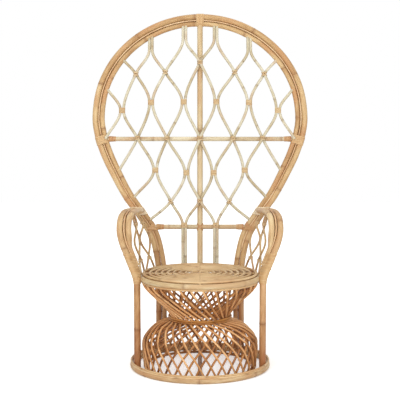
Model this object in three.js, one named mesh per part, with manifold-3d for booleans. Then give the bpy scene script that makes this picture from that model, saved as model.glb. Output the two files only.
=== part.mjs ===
import * as THREE from 'three';
import { mergeVertices } from 'three/addons/utils/BufferGeometryUtils.js';
import Module from 'manifold-3d';

// Peacock chair of bent rattan poles: a tall hooped back with a woven lattice, looped arms,
// a round seat of nailed rings, and an hourglass base of two layers of twisted rods.
// Millimetres, +Z up, the sitter looks along -Y. The chair is drawn about the centre of
// its seat, and at the end it is moved so that the middle of its footprint is the origin.

const wasm = await Module();
wasm.setup();

// Whole chair
const chairHeight = 1500;
const backTilt = THREE.MathUtils.degToRad(4.5);
const seatingGap = 0.3;
const floorOverrun = 8;

// Hoop of the back
const hoopHalfWidth = 477;
const hoopWidestHeight = 1045;
const outerPoleRadius = 13;
const innerPoleRadius = 11;
const poleSpread = 6.5;
const hoopFillerRadius = 4.6;

// Furniture of the back
const centrePostRadius = 12.4;
const upperBarRadius = 8.6;
const lowerBarRadius = 9;
const upperBarHeight = 946;
const lowerBarHeight = 557;
const latticeRodRadius = 5.6;

// Flat cane wraps
const caneThickness = 3;
const topWrapLength = 34;
const upperBarWrapLength = 37;
const lowerBarWrapLength = 32;
const armEndWrapHeight = 30;

// Seat
const seatHeight = 402;
const seatRingRadius = 243;
const seatRingPoleRadius = 11;
const seatHoopPoleRadius = 4.5;
const coilRodRadius = 5;
const coilOuterRadius = 236;
const coilPitch = 25;
const coilCount = 9;
const slatRadius = 4;
const supportRadius = 9;
const supportSpacing = 170;
const backRailRadius = 10;

// Front posts and arms
const frontPostRadius = 14;
const frontPostHeight = 372;
const frontPostTurn = THREE.MathUtils.degToRad(15);
const armPoleRadius = 11.7;
const armPoleSpread = 8;
const armPoleTurn = THREE.MathUtils.degToRad(50);
const armFillerRadius = 4.6;
const armHalfWidth = 339;
const armHeight = 657;
const armInnerPoleStart = 425;
const postWrapBottom = 363;
const postWrapTop = 488;

// Lattice under each arm
const sideRodRadius = 3.5;
const sideColumnStart = 35;
const sideColumnPitch = 80;
const sideColumnCount = 2;

// Hourglass
const twistRodRadius = 3.25;
const twistRodCount = 32;
const hourglassRimRadius = 240;
const waistRadius = 121.7;
const waistHeight = 212;
const coneTwist = THREE.MathUtils.degToRad(38);
const domeTwist = THREE.MathUtils.degToRad(48);

// Base
const baseRingRadius = 282;
const baseRingPoleRadius = 12;
const baseHoopPoleRadius = 4.2;
const baseButtTurn = THREE.MathUtils.degToRad(68);
const stretcherRadius = 8.5;

// Facets
const hoopStations = 36;
const legStations = 2;
const poleSides = 8;
const rodSides = 5;
const thinSides = 4;
const twistSides = 3;
const ringSegments = 28;
const coilSegments = 24;
const waistSegments = 24;
const latticeStepsPerSpan = 3;
const sideStepsPerSpan = 2;
const armStepsPerSpan = 2;

// Materials
const poleMaterial = new THREE.MeshStandardMaterial({ color: 0xc99a62, roughness: 0.45, metalness: 0 });
const rodMaterial = new THREE.MeshStandardMaterial({ color: 0xd4aa76, roughness: 0.55, metalness: 0 });
const caneMaterial = new THREE.MeshStandardMaterial({ color: 0xdcb98a, roughness: 0.6, metalness: 0 });

const chair = new THREE.Group();

function addPiece(name, geometry, material) {
  geometry.computeVertexNormals();
  const piece = new THREE.Mesh(geometry, material);
  piece.name = name;
  chair.add(piece);
}

// Solids and their cuts

function toSolid(geometry) {
  const bare = geometry.clone();
  bare.deleteAttribute('normal');
  bare.deleteAttribute('uv');
  const merged = mergeVertices(bare);
  return new wasm.Manifold(new wasm.Mesh({
    numProp: 3,
    vertProperties: merged.attributes.position.array,
    triVerts: new Uint32Array(merged.index.array),
  }));
}

function toGeometry(solid) {
  const mesh = solid.getMesh();
  const geometry = new THREE.BufferGeometry();
  geometry.setAttribute('position', new THREE.BufferAttribute(mesh.vertProperties, mesh.numProp));
  geometry.setIndex(new THREE.BufferAttribute(mesh.triVerts, 1));
  return geometry;
}

// What is left of a piece once its offcuts have fallen away
function largestPart(solid) {
  return solid.decompose().reduce((best, part) => (part.volume() > best.volume() ? part : best));
}

function cutDown(solid, cutters) {
  return toGeometry(largestPart(cutters.reduce((left, cutter) => left.subtract(cutter), solid)));
}

function trimmed(geometry, cutters) {
  return cutDown(toSolid(geometry), cutters);
}

function joined(geometries) {
  const solids = geometries.map(toSolid);
  return toGeometry(solids.reduce((whole, solid) => whole.add(solid)));
}

// Rods and rings

function roundSection(radius, sides) {
  const points = [];
  for (let k = 0; k < sides; k += 1) {
    const turn = (2 * Math.PI * (k + 0.5)) / sides;
    points.push(new THREE.Vector2(radius * Math.cos(turn), radius * Math.sin(turn)));
  }
  return new THREE.Shape(points);
}

function rod(path, radius, sides, steps) {
  return new THREE.ExtrudeGeometry(roundSection(radius, sides), {
    extrudePath: path,
    steps,
    bevelEnabled: false,
  });
}

function straightRod(from, to, radius, sides) {
  return rod(new THREE.LineCurve3(from, to), radius, sides, 1);
}

// A knot of a bent rod, at which the rod may have to run straight up and down
function knot(place, isUpright = false) {
  return { place, isUpright };
}

// A smooth path through knots, with sections on them and at equal shares between them
class KnotPath extends THREE.Curve {
  constructor(knots) {
    super();
    this.knots = knots;
  }

  getUtoTmapping(u) {
    return u;
  }

  slopeAt(k) {
    const here = this.knots[k].place;
    const before = this.knots[Math.max(k - 1, 0)].place;
    const after = this.knots[Math.min(k + 1, this.knots.length - 1)].place;
    const slope = after.clone().sub(before).divideScalar(after.distanceTo(here) + here.distanceTo(before));
    return this.knots[k].isUpright ? slope.setX(0) : slope;
  }

  getPoint(t, target = new THREE.Vector3()) {
    const station = t * (this.knots.length - 1);
    const k = Math.min(Math.floor(station), this.knots.length - 2);
    const u = station - k;
    const start = this.knots[k].place;
    const end = this.knots[k + 1].place;
    const span = start.distanceTo(end);
    target.copy(start).multiplyScalar((1 + 2 * u) * (1 - u) * (1 - u));
    target.addScaledVector(end, u * u * (3 - 2 * u));
    target.addScaledVector(this.slopeAt(k), span * u * (1 - u) * (1 - u));
    return target.addScaledVector(this.slopeAt(k + 1), -span * u * u * (1 - u));
  }
}

function bentRod(knots, radius, sides, stepsPerSpan) {
  return rod(new KnotPath(knots), radius, sides, stepsPerSpan * (knots.length - 1));
}

// A level ring whose section has a flat facet below, on which it lies
function ring(radius, height, poleRadius, sides, segments) {
  const profile = [];
  for (let k = 0; k <= sides; k += 1) {
    const turn = (2 * Math.PI * ((k % sides) + 0.5)) / sides - Math.PI / 2;
    const offset = new THREE.Vector2(Math.cos(turn), Math.sin(turn)).multiplyScalar(poleRadius);
    profile.push(offset.add(new THREE.Vector2(radius, height)));
  }
  const geometry = new THREE.LatheGeometry(profile, segments, Math.PI / segments);
  geometry.rotateX(Math.PI / 2);
  return geometry;
}

// How far a rod's flat facet is from its axis
function apothem(poleRadius, sides) {
  return poleRadius * Math.cos(Math.PI / sides);
}

// The radius of a faceted ring that just clears a round thing inside it
function clearOf(innerRadius, segments) {
  return innerRadius / Math.cos(Math.PI / segments);
}

// Heights and depths that the pieces share
const coilHeight = seatHeight - apothem(coilRodRadius, thinSides);
const slatHalfDepth = apothem(slatRadius, thinSides);
const slatHeight = coilHeight - apothem(coilRodRadius, thinSides) - slatHalfDepth / 2;
const underSlats = slatHeight - slatHalfDepth - seatingGap;
const seatRingHeight = underSlats - apothem(seatRingPoleRadius, poleSides);
const seatRingEdge = seatRingRadius + seatRingPoleRadius;
const backRailDepth = seatRingEdge + seatingGap + backRailRadius;
const backFootDepth = backRailDepth - seatRingHeight * Math.tan(backTilt);

// The plane of the back: a point in it, and the way out of its front
const backForward = new THREE.Vector3(0, -Math.cos(backTilt), Math.sin(backTilt));

function onBack(x, height, forward) {
  const point = new THREE.Vector3(x, backFootDepth + height * Math.tan(backTilt), height);
  return point.addScaledVector(backForward, forward);
}

// Outline of the hoop, left foot to right foot: half an ellipse over two curved shanks.
// Shares of the hoop's half width and of the height of its widest place.
const crownHeight = chairHeight - caneThickness - seatingGap;
const shankShares = [
  [0.979, 0.919],
  [0.922, 0.837],
  [0.838, 0.756],
  [0.713, 0.653],
  [0.589, 0.574],
  [0.482, 0.498],
  [0.434, 0.421],
  [0.412, 0.345],
  [0.41, 0.17],
];
const legShare = 0.41;

function hoopOutlinePoints() {
  const right = [];
  const arcSteps = 5;
  for (let k = 1; k <= arcSteps; k += 1) {
    const turn = (Math.PI / 2) * (1 - k / arcSteps);
    const rise = (crownHeight - hoopWidestHeight) * Math.sin(turn);
    right.push([hoopHalfWidth * Math.cos(turn), hoopWidestHeight + rise]);
  }
  for (const [outShare, heightShare] of shankShares) {
    right.push([hoopHalfWidth * outShare, hoopWidestHeight * heightShare]);
  }
  right.push([hoopHalfWidth * legShare, -floorOverrun]);
  const left = right.map(([x, height]) => [-x, height]).reverse();
  return [...left, [0, crownHeight], ...right].map(([x, height]) => onBack(x, height, 0));
}

const hoopOutline = new THREE.CatmullRomCurve3(hoopOutlinePoints(), false, 'centripetal');
hoopOutline.arcLengthDivisions = 400;

// Room between the two poles grows from nothing low down to its full width above the arms
const spreadStartHeight = chairHeight * 0.42;
const spreadFullHeight = chairHeight * 0.6;

function spreadAt(height) {
  return poleSpread * THREE.MathUtils.smoothstep(height, spreadStartHeight, spreadFullHeight);
}

function poleSpacingAt(height) {
  return outerPoleRadius + seatingGap + spreadAt(height) + innerPoleRadius;
}

function bundleWidthAt(height) {
  return outerPoleRadius + poleSpacingAt(height) + innerPoleRadius;
}

// The filler lies in the front groove and touches both poles
function fillerPlaceAt(height) {
  const spacing = poleSpacingAt(height);
  const toOuter = outerPoleRadius + seatingGap + hoopFillerRadius;
  const toInner = innerPoleRadius + seatingGap + hoopFillerRadius;
  const across = (spacing * spacing + toOuter * toOuter - toInner * toInner) / (2 * spacing);
  return { inset: outerPoleRadius + across, forward: Math.sqrt(toOuter * toOuter - across * across) };
}

// The stations lie further apart down the straight legs, whose share of the length this is
const legLengthShare = 0.095;

function outlineShare(t) {
  const fromFoot = Math.min(t, 1 - t) * hoopStations;
  const archStations = hoopStations / 2 - legStations;
  const share = fromFoot < legStations
    ? (legLengthShare * fromFoot) / legStations
    : THREE.MathUtils.lerp(legLengthShare, 0.5, (fromFoot - legStations) / archStations);
  return t < 0.5 ? share : 1 - share;
}

// A path beside the outline, set in from it and ahead of its plane
class BesideHoop extends THREE.Curve {
  constructor(placeAt, first = 0, last = 1) {
    super();
    this.placeAt = placeAt;
    this.first = first;
    this.last = last;
  }

  getUtoTmapping(u) {
    return u;
  }

  getPoint(t, target = new THREE.Vector3()) {
    const station = this.first + (this.last - this.first) * t;
    const edge = hoopOutline.getPointAt(outlineShare(station));
    const along = hoopOutline.getTangentAt(outlineShare(station));
    const outward = new THREE.Vector3().crossVectors(backForward, along);
    const place = this.placeAt(edge.z);
    target.copy(edge).addScaledVector(outward, -place.inset);
    return target.addScaledVector(backForward, place.forward);
  }
}

const outerPolePlace = () => ({ inset: outerPoleRadius, forward: 0 });
const innerPolePlace = (height) => ({ inset: outerPoleRadius + poleSpacingAt(height), forward: 0 });
const outerPolePath = new BesideHoop(outerPolePlace);
const innerPolePath = new BesideHoop(innerPolePlace);
const fillerFirstStation = 3;
const fillerPath = new BesideHoop(
  fillerPlaceAt,
  fillerFirstStation / hoopStations,
  1 - fillerFirstStation / hoopStations,
);

// Places on the inner pole of the right half, found by halving from the crown to the foot
function innerPoleStation(isPast) {
  let above = 0.5;
  let below = 1;
  for (let k = 0; k < 30; k += 1) {
    const middle = (above + below) / 2;
    if (isPast(innerPolePath.getPoint(middle))) {
      below = middle;
    } else {
      above = middle;
    }
  }
  return above;
}

function innerPoleAtHeight(height) {
  return innerPolePath.getPoint(innerPoleStation((point) => point.z < height));
}

function innerPoleAtWidth(width) {
  return innerPolePath.getPoint(innerPoleStation((point) => point.x > width));
}

// Seats: each pole a gap thicker, to cut what rests against it
const outerPoleSeat = toSolid(rod(outerPolePath, outerPoleRadius + seatingGap, poleSides, hoopStations));
const innerPoleSeat = toSolid(rod(innerPolePath, innerPoleRadius + seatingGap, poleSides, hoopStations));
const fillerSteps = hoopStations - 2 * fillerFirstStation;
const fillerSeat = toSolid(rod(fillerPath, hoopFillerRadius + seatingGap, rodSides, fillerSteps));

// Base: a ring of thick pole in two arcs, two thin hoops on its shoulder, and a stretcher
// The lower hoop's inner edge rests on the ring's outer shoulder, a facet that slopes by 45 degrees
const baseRingHeight = apothem(baseRingPoleRadius, poleSides);
const baseHoopHalf = apothem(baseHoopPoleRadius, thinSides);
const hoopShoulder = baseRingPoleRadius - baseHoopHalf;
const baseHoopRadius = baseRingRadius + hoopShoulder;
const hoopReach = apothem(baseRingPoleRadius, poleSides) + seatingGap + baseHoopPoleRadius;
const lowerBaseHoopHeight = baseRingHeight + hoopReach * Math.SQRT2 - hoopShoulder;
const upperBaseHoopHeight = lowerBaseHoopHeight + 2 * baseHoopHalf + seatingGap;

function baseRing(growth) {
  return ring(baseRingRadius, baseRingHeight, baseRingPoleRadius + growth, poleSides, ringSegments);
}

function baseHoop(height, growth) {
  return ring(baseHoopRadius, height, baseHoopPoleRadius + growth, thinSides, ringSegments);
}

function floorBlock() {
  const reach = 2 * (baseRingRadius + baseRingPoleRadius + hoopHalfWidth);
  const depth = 4 * floorOverrun;
  const block = new THREE.BoxGeometry(reach, reach, depth);
  block.translate(0, 0, -depth / 2);
  return block;
}

function sawCut(side) {
  const cut = new THREE.BoxGeometry(2 * seatingGap, 4 * baseRingPoleRadius, 4 * baseRingPoleRadius);
  cut.translate(0, -baseRingRadius, baseRingHeight);
  cut.rotateZ(side * baseButtTurn);
  return cut;
}

const baseRingSeat = toSolid(baseRing(seatingGap));
const baseHoopHeights = [lowerBaseHoopHeight, upperBaseHoopHeight];
const baseHoopSeats = baseHoopHeights.map((height) => toSolid(baseHoop(height, seatingGap)));
const floorSeat = toSolid(floorBlock());
const footSeats = [baseRingSeat, ...baseHoopSeats, floorSeat];

function addBase() {
  const arcs = [-1, 1].reduce((solid, side) => solid.subtract(toSolid(sawCut(side))), toSolid(baseRing(0)));
  const [front, rear] = arcs.decompose().sort((a, b) => a.boundingBox().min[1] - b.boundingBox().min[1]);
  addPiece('base_ring_front', toGeometry(front), poleMaterial);
  addPiece('base_ring_rear', toGeometry(rear), poleMaterial);
  addPiece('base_hoop_lower', baseHoop(lowerBaseHoopHeight, 0), rodMaterial);
  addPiece('base_hoop_upper', baseHoop(upperBaseHoopHeight, 0), rodMaterial);
  const reach = new THREE.Vector3(0, baseRingRadius, apothem(stretcherRadius, poleSides));
  const stretcher = straightRod(
    reach.clone().setY(-baseRingRadius),
    reach,
    stretcherRadius,
    poleSides,
  );
  addPiece('base_stretcher', trimmed(stretcher, [baseRingSeat, ...twistFootSeats]), poleMaterial);
}

// Hourglass. Stations of the outer layer's rod axes from the head down to the floor:
// shares of the rim less the waist radius, of the height above (or under) the waist, and of
// the cone's (or the dome's) twist. The waist itself is a short band, for its two hoops.
const coneShares = [
  [1, 1, 1],
  [0.96, 0.87, 0.94],
  [0.52, 0.49, 0.7],
  [0.22, 0.24, 0.42],
  [0, 0, 0],
];
const domeShares = [
  [0, 0, 0],
  [0.5, 0.12, 0.33],
  [0.82, 0.29, 0.53],
  [0.98, 0.45, 0.66],
  [0.99, 0.66, 0.81],
  [0.94, 1, 1],
];
const underSeatRing = seatRingHeight - apothem(seatRingPoleRadius, poleSides) - seatingGap;
const twistHeadHeight = underSeatRing - twistRodRadius;
const twistFootHeight = twistRodRadius;
const twistHoopHalf = apothem(twistRodRadius, thinSides);
const underHoopHalf = apothem(seatHoopPoleRadius, thinSides);
const waistHoopPitch = 1.8 * twistHoopHalf;
const waistReach = waistHoopPitch + twistRodRadius;
const layerDepth = 2 * twistRodRadius + seatingGap;

function twistStationRows() {
  const spread = hourglassRimRadius - waistRadius;
  const cone = coneShares.map(([out, up, turn]) => ({
    radius: waistRadius + spread * out,
    height: THREE.MathUtils.lerp(waistHeight + waistReach, twistHeadHeight, up),
    turn: coneTwist * turn,
  }));
  const dome = domeShares.map(([out, down, turn]) => ({
    radius: waistRadius + spread * out,
    height: THREE.MathUtils.lerp(waistHeight - waistReach, twistFootHeight, down),
    turn: -domeTwist * turn - bandTwist,
  }));
  return [...cone, ...dome];
}

const bandTwist = THREE.MathUtils.degToRad(7);
const twistRows = twistStationRows();
const twistSteps = twistRows.length - 1;
const halfPitch = Math.PI / twistRodCount;
const footTurn = twistRows[twistSteps].turn;

function spanInward(k) {
  const above = twistRows[k];
  const below = twistRows[k + 1];
  return new THREE.Vector2(below.height - above.height, above.radius - below.radius).normalize();
}

// The way from a station to the layer inside: level at the head and at the foot, and
// elsewhere a mitre, so that the layers stay as far apart on both sides of a bend
function profileInward(k) {
  if (k === 0 || k === twistSteps) {
    return new THREE.Vector2(1 / spanInward(Math.min(k, twistSteps - 1)).x, 0);
  }
  const before = spanInward(k - 1);
  const after = spanInward(k);
  return before.clone().add(after).divideScalar(1 + before.dot(after));
}

// A rod's axis through stations, which are row numbers and may fall between rows
class TwistPath extends THREE.Curve {
  constructor(sense, layer, stations) {
    super();
    this.sense = sense;
    this.layer = layer;
    this.stations = stations;
  }

  getUtoTmapping(u) {
    return u;
  }

  rowPoint(k) {
    const row = twistRows[k];
    const inward = profileInward(k).multiplyScalar(this.layer * layerDepth);
    const radius = row.radius + inward.x;
    const turn = this.sense * (row.turn - footTurn + halfPitch) - Math.PI / 2;
    return new THREE.Vector3(radius * Math.cos(turn), radius * Math.sin(turn), row.height + inward.y);
  }

  stationPoint(station) {
    const k = Math.min(Math.floor(station), twistSteps - 1);
    return this.rowPoint(k).lerp(this.rowPoint(k + 1), station - k);
  }

  getPoint(t, target = new THREE.Vector3()) {
    const span = t * (this.stations.length - 1);
    const k = Math.min(Math.floor(span), this.stations.length - 2);
    const station = THREE.MathUtils.lerp(this.stations[k], this.stations[k + 1], span - k);
    return target.copy(this.stationPoint(station));
  }
}

// Cone and dome meet at a seam across the cone's last span, just above the waist hoops
const bandRow = coneShares.length - 1;
const seamStation = bandRow - 0.1;
const seamHalf = 0.003;
const coneStations = [...[...coneShares.keys()].slice(0, bandRow), seamStation - seamHalf];
const domeRows = [...domeShares.keys()].map((k) => k + bandRow + 1);
const domeStations = [seamStation + seamHalf, bandRow, ...domeRows];
const coneOuterPath = new TwistPath(-1, 0, coneStations);
const coneInnerPath = new TwistPath(1, 1, coneStations);
const domeOuterPath = new TwistPath(-1, 0, domeStations);
const domeInnerPath = new TwistPath(1, 1, domeStations);

// A hoop that takes each rod in the middle of a facet: set out from the rods' axes or not
function twistHoop(place, height, poleRadius, setOut = 0) {
  const radius = (Math.hypot(place.x, place.y) + setOut) / Math.cos(halfPitch);
  const hoop = ring(radius, height, poleRadius, thinSides, twistRodCount);
  return hoop.rotateZ(Math.atan2(place.y, place.x));
}

function footHoop(path, growth) {
  return twistHoop(path.getPoint(1), twistHoopHalf, twistRodRadius + growth);
}

// The thin hoop under the seat ring takes the outer rods' heads on its inner side
function seatUnderHoop(growth) {
  const height = underSeatRing - underHoopHalf;
  return twistHoop(coneOuterPath.getPoint(0), height, seatHoopPoleRadius + growth, underHoopHalf);
}

const twistFootSeats = [domeOuterPath, domeInnerPath].map((path) => toSolid(footHoop(path, seatingGap)));

function twistedRods(hoop, path) {
  const one = rod(path, twistRodRadius, twistSides, path.stations.length - 1);
  const rods = [];
  for (let k = 0; k < twistRodCount; k += 1) {
    rods.push(one.clone().rotateZ((2 * Math.PI * k) / twistRodCount));
  }
  return joined([hoop, ...rods]);
}

function addHourglass() {
  const head = twistHoop(coneInnerPath.getPoint(0), underSeatRing - twistHoopHalf, twistRodRadius);
  addPiece('twist_cone_outer', twistedRods(seatUnderHoop(0), coneOuterPath), rodMaterial);
  addPiece('twist_cone_inner', twistedRods(head, coneInnerPath), rodMaterial);
  addPiece('twist_dome_outer', twistedRods(footHoop(domeOuterPath, 0), domeOuterPath), rodMaterial);
  addPiece('twist_dome_inner', twistedRods(footHoop(domeInnerPath, 0), domeInnerPath), rodMaterial);
  const clearRadius = clearOf(waistRadius + twistRodRadius + seatingGap + twistHoopHalf, waistSegments);
  const waistHoops = [-1, 1].map((side) => {
    const height = waistHeight + (side * waistHoopPitch) / 2;
    return ring(clearRadius, height, twistRodRadius, thinSides, waistSegments);
  });
  addPiece('waist_hoops', joined(waistHoops), rodMaterial);
}

// Seat
function seatRing(growth) {
  return ring(seatRingRadius, seatRingHeight, seatRingPoleRadius + growth, poleSides, ringSegments);
}

const seatRingSeat = toSolid(seatRing(seatingGap));

function addSeat() {
  addPiece('seat_ring', seatRing(0), poleMaterial);
  const pieces = [];
  for (let k = 0; k < coilCount; k += 1) {
    const radius = coilOuterRadius - k * coilPitch;
    const segments = 4 * Math.max(2, Math.round((coilSegments * radius) / (4 * coilOuterRadius)));
    pieces.push(ring(radius, coilHeight, coilRodRadius, thinSides, segments));
  }
  for (const [x, y] of [[seatRingRadius, 0], [0, seatRingRadius]]) {
    const end = new THREE.Vector3(x, y, slatHeight);
    const start = new THREE.Vector3(-x, -y, slatHeight);
    pieces.push(straightRod(start, end, slatRadius, thinSides));
  }
  addPiece('seat_rings', joined(pieces), rodMaterial);
  for (const [name, side] of [['seat_support_left', -1], ['seat_support_right', 1]]) {
    const height = underSlats - apothem(supportRadius, poleSides);
    const x = (side * supportSpacing) / 2;
    const start = new THREE.Vector3(x, -seatRingRadius, height);
    const end = new THREE.Vector3(x, seatRingRadius, height);
    const support = straightRod(start, end, supportRadius, poleSides);
    addPiece(name, trimmed(support, [seatRingSeat]), poleMaterial);
  }
}

// Front posts and arms
const postReach = seatRingEdge + seatingGap + frontPostRadius;
const postX = postReach * Math.cos(frontPostTurn);
const postY = -postReach * Math.sin(frontPostTurn);
const armTopHeight = armHeight - armPoleRadius;
const armEndDepth = backFootDepth + armTopHeight * Math.tan(backTilt);

// Axis of an arm's outer pole. First shares of the way out from the post, of the way back and
// of the rise, then shares of the way in from the widest place to the hoop, and the same others.
const armRiseShares = [
  [0, 0, 0],
  [0.11, -0.003, 0.102],
  [0.34, -0.008, 0.248],
  [0.56, -0.017, 0.394],
  [0.84, -0.034, 0.577],
  [1, -0.03, 0.76],
];
const armRunShares = [
  [0.027, 0.056, 0.934],
  [0.221, 0.225, 1],
  [0.471, 0.534, 0.993],
  [0.769, 0.8, 0.967],
  [1, 1, 0.949],
];

function armOuterPoints() {
  const armWidestX = armHalfWidth - armPoleRadius;
  const hoopX = innerPoleAtHeight(armTopHeight).x + poleSpacingAt(armTopHeight);
  const placed = (shares, startX, endX) => shares.map(([across, back, rise]) => new THREE.Vector3(
    THREE.MathUtils.lerp(startX, endX, across),
    THREE.MathUtils.lerp(postY, armEndDepth, back),
    THREE.MathUtils.lerp(frontPostHeight + seatingGap, armTopHeight, rise),
  ));
  return [...placed(armRiseShares, postX, armWidestX), ...placed(armRunShares, armWidestX, hoopX)];
}

const armOuterLine = new THREE.CatmullRomCurve3(armOuterPoints(), false, 'centripetal');
const armStations = armStepsPerSpan * (armRiseShares.length + armRunShares.length - 1);

// The two poles start close together, the inner one half behind the outer one, and they
// draw apart and come side by side as they rise to the bend
const armBendHeight = THREE.MathUtils.lerp(frontPostHeight, armTopHeight, 0.75);

function armOpeningAt(height) {
  return THREE.MathUtils.smoothstep(height, postWrapTop, armBendHeight);
}

function armSpacingAt(height) {
  return 2 * armPoleRadius + seatingGap + armPoleSpread * armOpeningAt(height);
}

// The filler lies in the groove before the poles, and on top of them where they run back
function fillerLiftAt(height) {
  const reach = armPoleRadius + seatingGap + armFillerRadius;
  return Math.sqrt(reach * reach - (armSpacingAt(height) * armSpacingAt(height)) / 4);
}

// A path beside the arm's outer pole: a share of the way to the inner pole, and lifted or not
class BesideArm extends THREE.Curve {
  constructor(share, lifted, first) {
    super();
    this.share = share;
    this.lifted = lifted;
    this.first = first;
  }

  getUtoTmapping(u) {
    return u;
  }

  getPoint(t, target = new THREE.Vector3()) {
    const station = this.first + (1 - this.first) * t;
    const along = armOuterLine.getTangent(station);
    target.copy(armOuterLine.getPoint(station));
    const turn = armPoleTurn * (1 - armOpeningAt(target.z));
    const level = new THREE.Vector3(-1, 0, 0).addScaledVector(along, along.x).normalize();
    const upward = new THREE.Vector3().crossVectors(along, level).normalize();
    const across = level.clone().applyAxisAngle(along, -turn);
    const lift = upward.applyAxisAngle(along, -turn);
    const height = target.z;
    target.addScaledVector(across, this.share * armSpacingAt(height));
    return target.addScaledVector(lift, this.lifted ? fillerLiftAt(height) : 0);
  }
}

function armStationAbove(height) {
  let station = 0;
  while (armOuterLine.getPoint(station / armStations).z < height) {
    station += 1;
  }
  return station;
}

const armInnerStation = armStationAbove(armInnerPoleStart);
const armInnerFirst = armInnerStation / armStations;
const armRunSteps = armStations - armInnerStation;
const armOuterPath = new BesideArm(0, false, 0);
const armInnerPath = new BesideArm(1, false, armInnerFirst);
const armFillerPath = new BesideArm(0.5, true, armInnerFirst);

function armOuterPole(growth) {
  return rod(armOuterPath, armPoleRadius + growth, poleSides, armStations);
}

function armInnerPole(growth) {
  return rod(armInnerPath, armPoleRadius + growth, poleSides, armRunSteps);
}

function armFiller(growth) {
  return rod(armFillerPath, armFillerRadius + growth, rodSides, armRunSteps);
}

function frontPost(growth) {
  const foot = new THREE.Vector3(postX, postY, 0);
  const head = new THREE.Vector3(postX, postY, frontPostHeight + growth);
  return straightRod(foot, head, frontPostRadius + growth, poleSides);
}

// The wide cane wrap over the joint of post and arm grows from round to oval as it climbs.
// Shares of its length, of the way from post to bundle, and of the growth in half width.
const postWrapShares = [
  [0, 0, 0],
  [0.5, 0.8, 0.8],
  [1, 1, 1],
];
const postWrapTurns = 10;

function postWrap() {
  const bottomRadius = frontPostRadius + seatingGap + caneThickness;
  const topDepth = armPoleRadius + seatingGap + caneThickness;
  const bundleHalf = armSpacingAt(postWrapTop) / 2;
  const across = new THREE.Vector2(-1, 0).rotateAround(new THREE.Vector2(), -armPoleTurn);
  const profile = [new THREE.Vector2(0, 0)];
  for (const [upShare] of postWrapShares) {
    profile.push(new THREE.Vector2(1, upShare));
  }
  profile.push(new THREE.Vector2(0, 1));
  const wrap = new THREE.LatheGeometry(profile, postWrapTurns).rotateX(Math.PI / 2);
  const places = wrap.attributes.position;
  for (let k = 0; k < places.count; k += 1) {
    const upShare = places.getZ(k);
    const row = postWrapShares.findIndex(([share]) => share >= upShare);
    const [, shift, growth] = postWrapShares[row];
    const height = THREE.MathUtils.lerp(postWrapBottom, postWrapTop, upShare);
    const axis = height > frontPostHeight
      ? armOuterLine.getPoint(heightStation(height))
      : new THREE.Vector3(postX, postY, height);
    const halfWidth = THREE.MathUtils.lerp(bottomRadius, bundleHalf + topDepth, growth);
    const halfDepth = THREE.MathUtils.lerp(bottomRadius, topDepth, growth);
    const along = shift * bundleHalf + halfWidth * places.getX(k);
    const aside = halfDepth * places.getY(k);
    const x = axis.x + across.x * along - across.y * aside;
    places.setXYZ(k, x, axis.y + across.y * along + across.x * aside, height);
  }
  return wrap;
}

// Where the rising part of the arm reaches a height, by halving
function heightStation(height) {
  let below = 0;
  let above = 0.5;
  for (let k = 0; k < 30; k += 1) {
    const middle = (below + above) / 2;
    if (armOuterLine.getPoint(middle).z < height) {
      below = middle;
    } else {
      above = middle;
    }
  }
  return below;
}

// Cane sleeves round the hoop's bundle

// A place on the straight run between two sections of a pole
function chordPoint(path, station) {
  const k = Math.floor(station);
  const before = path.getPoint(k / hoopStations);
  return before.lerp(path.getPoint((k + 1) / hoopStations), station - k);
}

const sleeveReachShare = 0.2;

function sleeve(t, length, growth) {
  const station = t * hoopStations;
  const ends = [-sleeveReachShare, sleeveReachShare].map((reach) => station + reach);
  const [outerStart, outerEnd] = ends.map((end) => chordPoint(outerPolePath, end));
  const [innerStart, innerEnd] = ends.map((end) => chordPoint(innerPolePath, end));
  const along = outerEnd.clone().sub(outerStart).normalize();
  const outward = new THREE.Vector3().crossVectors(backForward, along);
  const centre = outerStart.add(outerEnd).add(innerStart).add(innerEnd).divideScalar(4);
  centre.addScaledVector(outward, (outerPoleRadius - innerPoleRadius) / 2);
  const front = fillerPlaceAt(centre.z).forward + hoopFillerRadius;
  const wall = seatingGap + caneThickness + growth;
  const halfDepth = Math.max(outerPoleRadius, front) + wall;
  const halfWidth = bundleWidthAt(centre.z) / 2 + wall;
  const section = new THREE.Shape();
  section.absarc(halfWidth - halfDepth, 0, halfDepth, -Math.PI / 2, Math.PI / 2, false);
  section.absarc(halfDepth - halfWidth, 0, halfDepth, Math.PI / 2, (3 * Math.PI) / 2, false);
  const depth = length + 2 * growth;
  const geometry = new THREE.ExtrudeGeometry(section, { depth, bevelEnabled: false, curveSegments: 3 });
  geometry.translate(0, 0, -depth / 2);
  geometry.applyMatrix4(new THREE.Matrix4().makeBasis(outward, backForward, along).setPosition(centre));
  return geometry;
}

function mirroredX(geometry) {
  const mirror = geometry.clone();
  mirror.scale(-1, 1, 1);
  const solid = mirror.index ? mirror.toNonIndexed() : mirror;
  const places = solid.attributes.position;
  const first = new THREE.Vector3();
  const last = new THREE.Vector3();
  for (let k = 0; k < places.count; k += 3) {
    first.fromBufferAttribute(places, k);
    last.fromBufferAttribute(places, k + 2);
    places.setXYZ(k, last.x, last.y, last.z);
    places.setXYZ(k + 2, first.x, first.y, first.z);
  }
  solid.deleteAttribute('normal');
  solid.deleteAttribute('uv');
  return mergeVertices(solid);
}

function addPair(name, geometry, material) {
  addPiece(`${name}_right`, geometry, material);
  addPiece(`${name}_left`, mirroredX(geometry), material);
}

const upperBarStation = innerPoleStation((point) => point.z < upperBarHeight);
const lowerBarStation = innerPoleStation((point) => point.z < lowerBarHeight);
const armEndPlace = armOuterLine.getPoint(1);
const armEndStation = innerPoleStation((point) => point.z < armEndPlace.z);
const bothPoleSeats = [outerPoleSeat, innerPoleSeat, fillerSeat];

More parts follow.
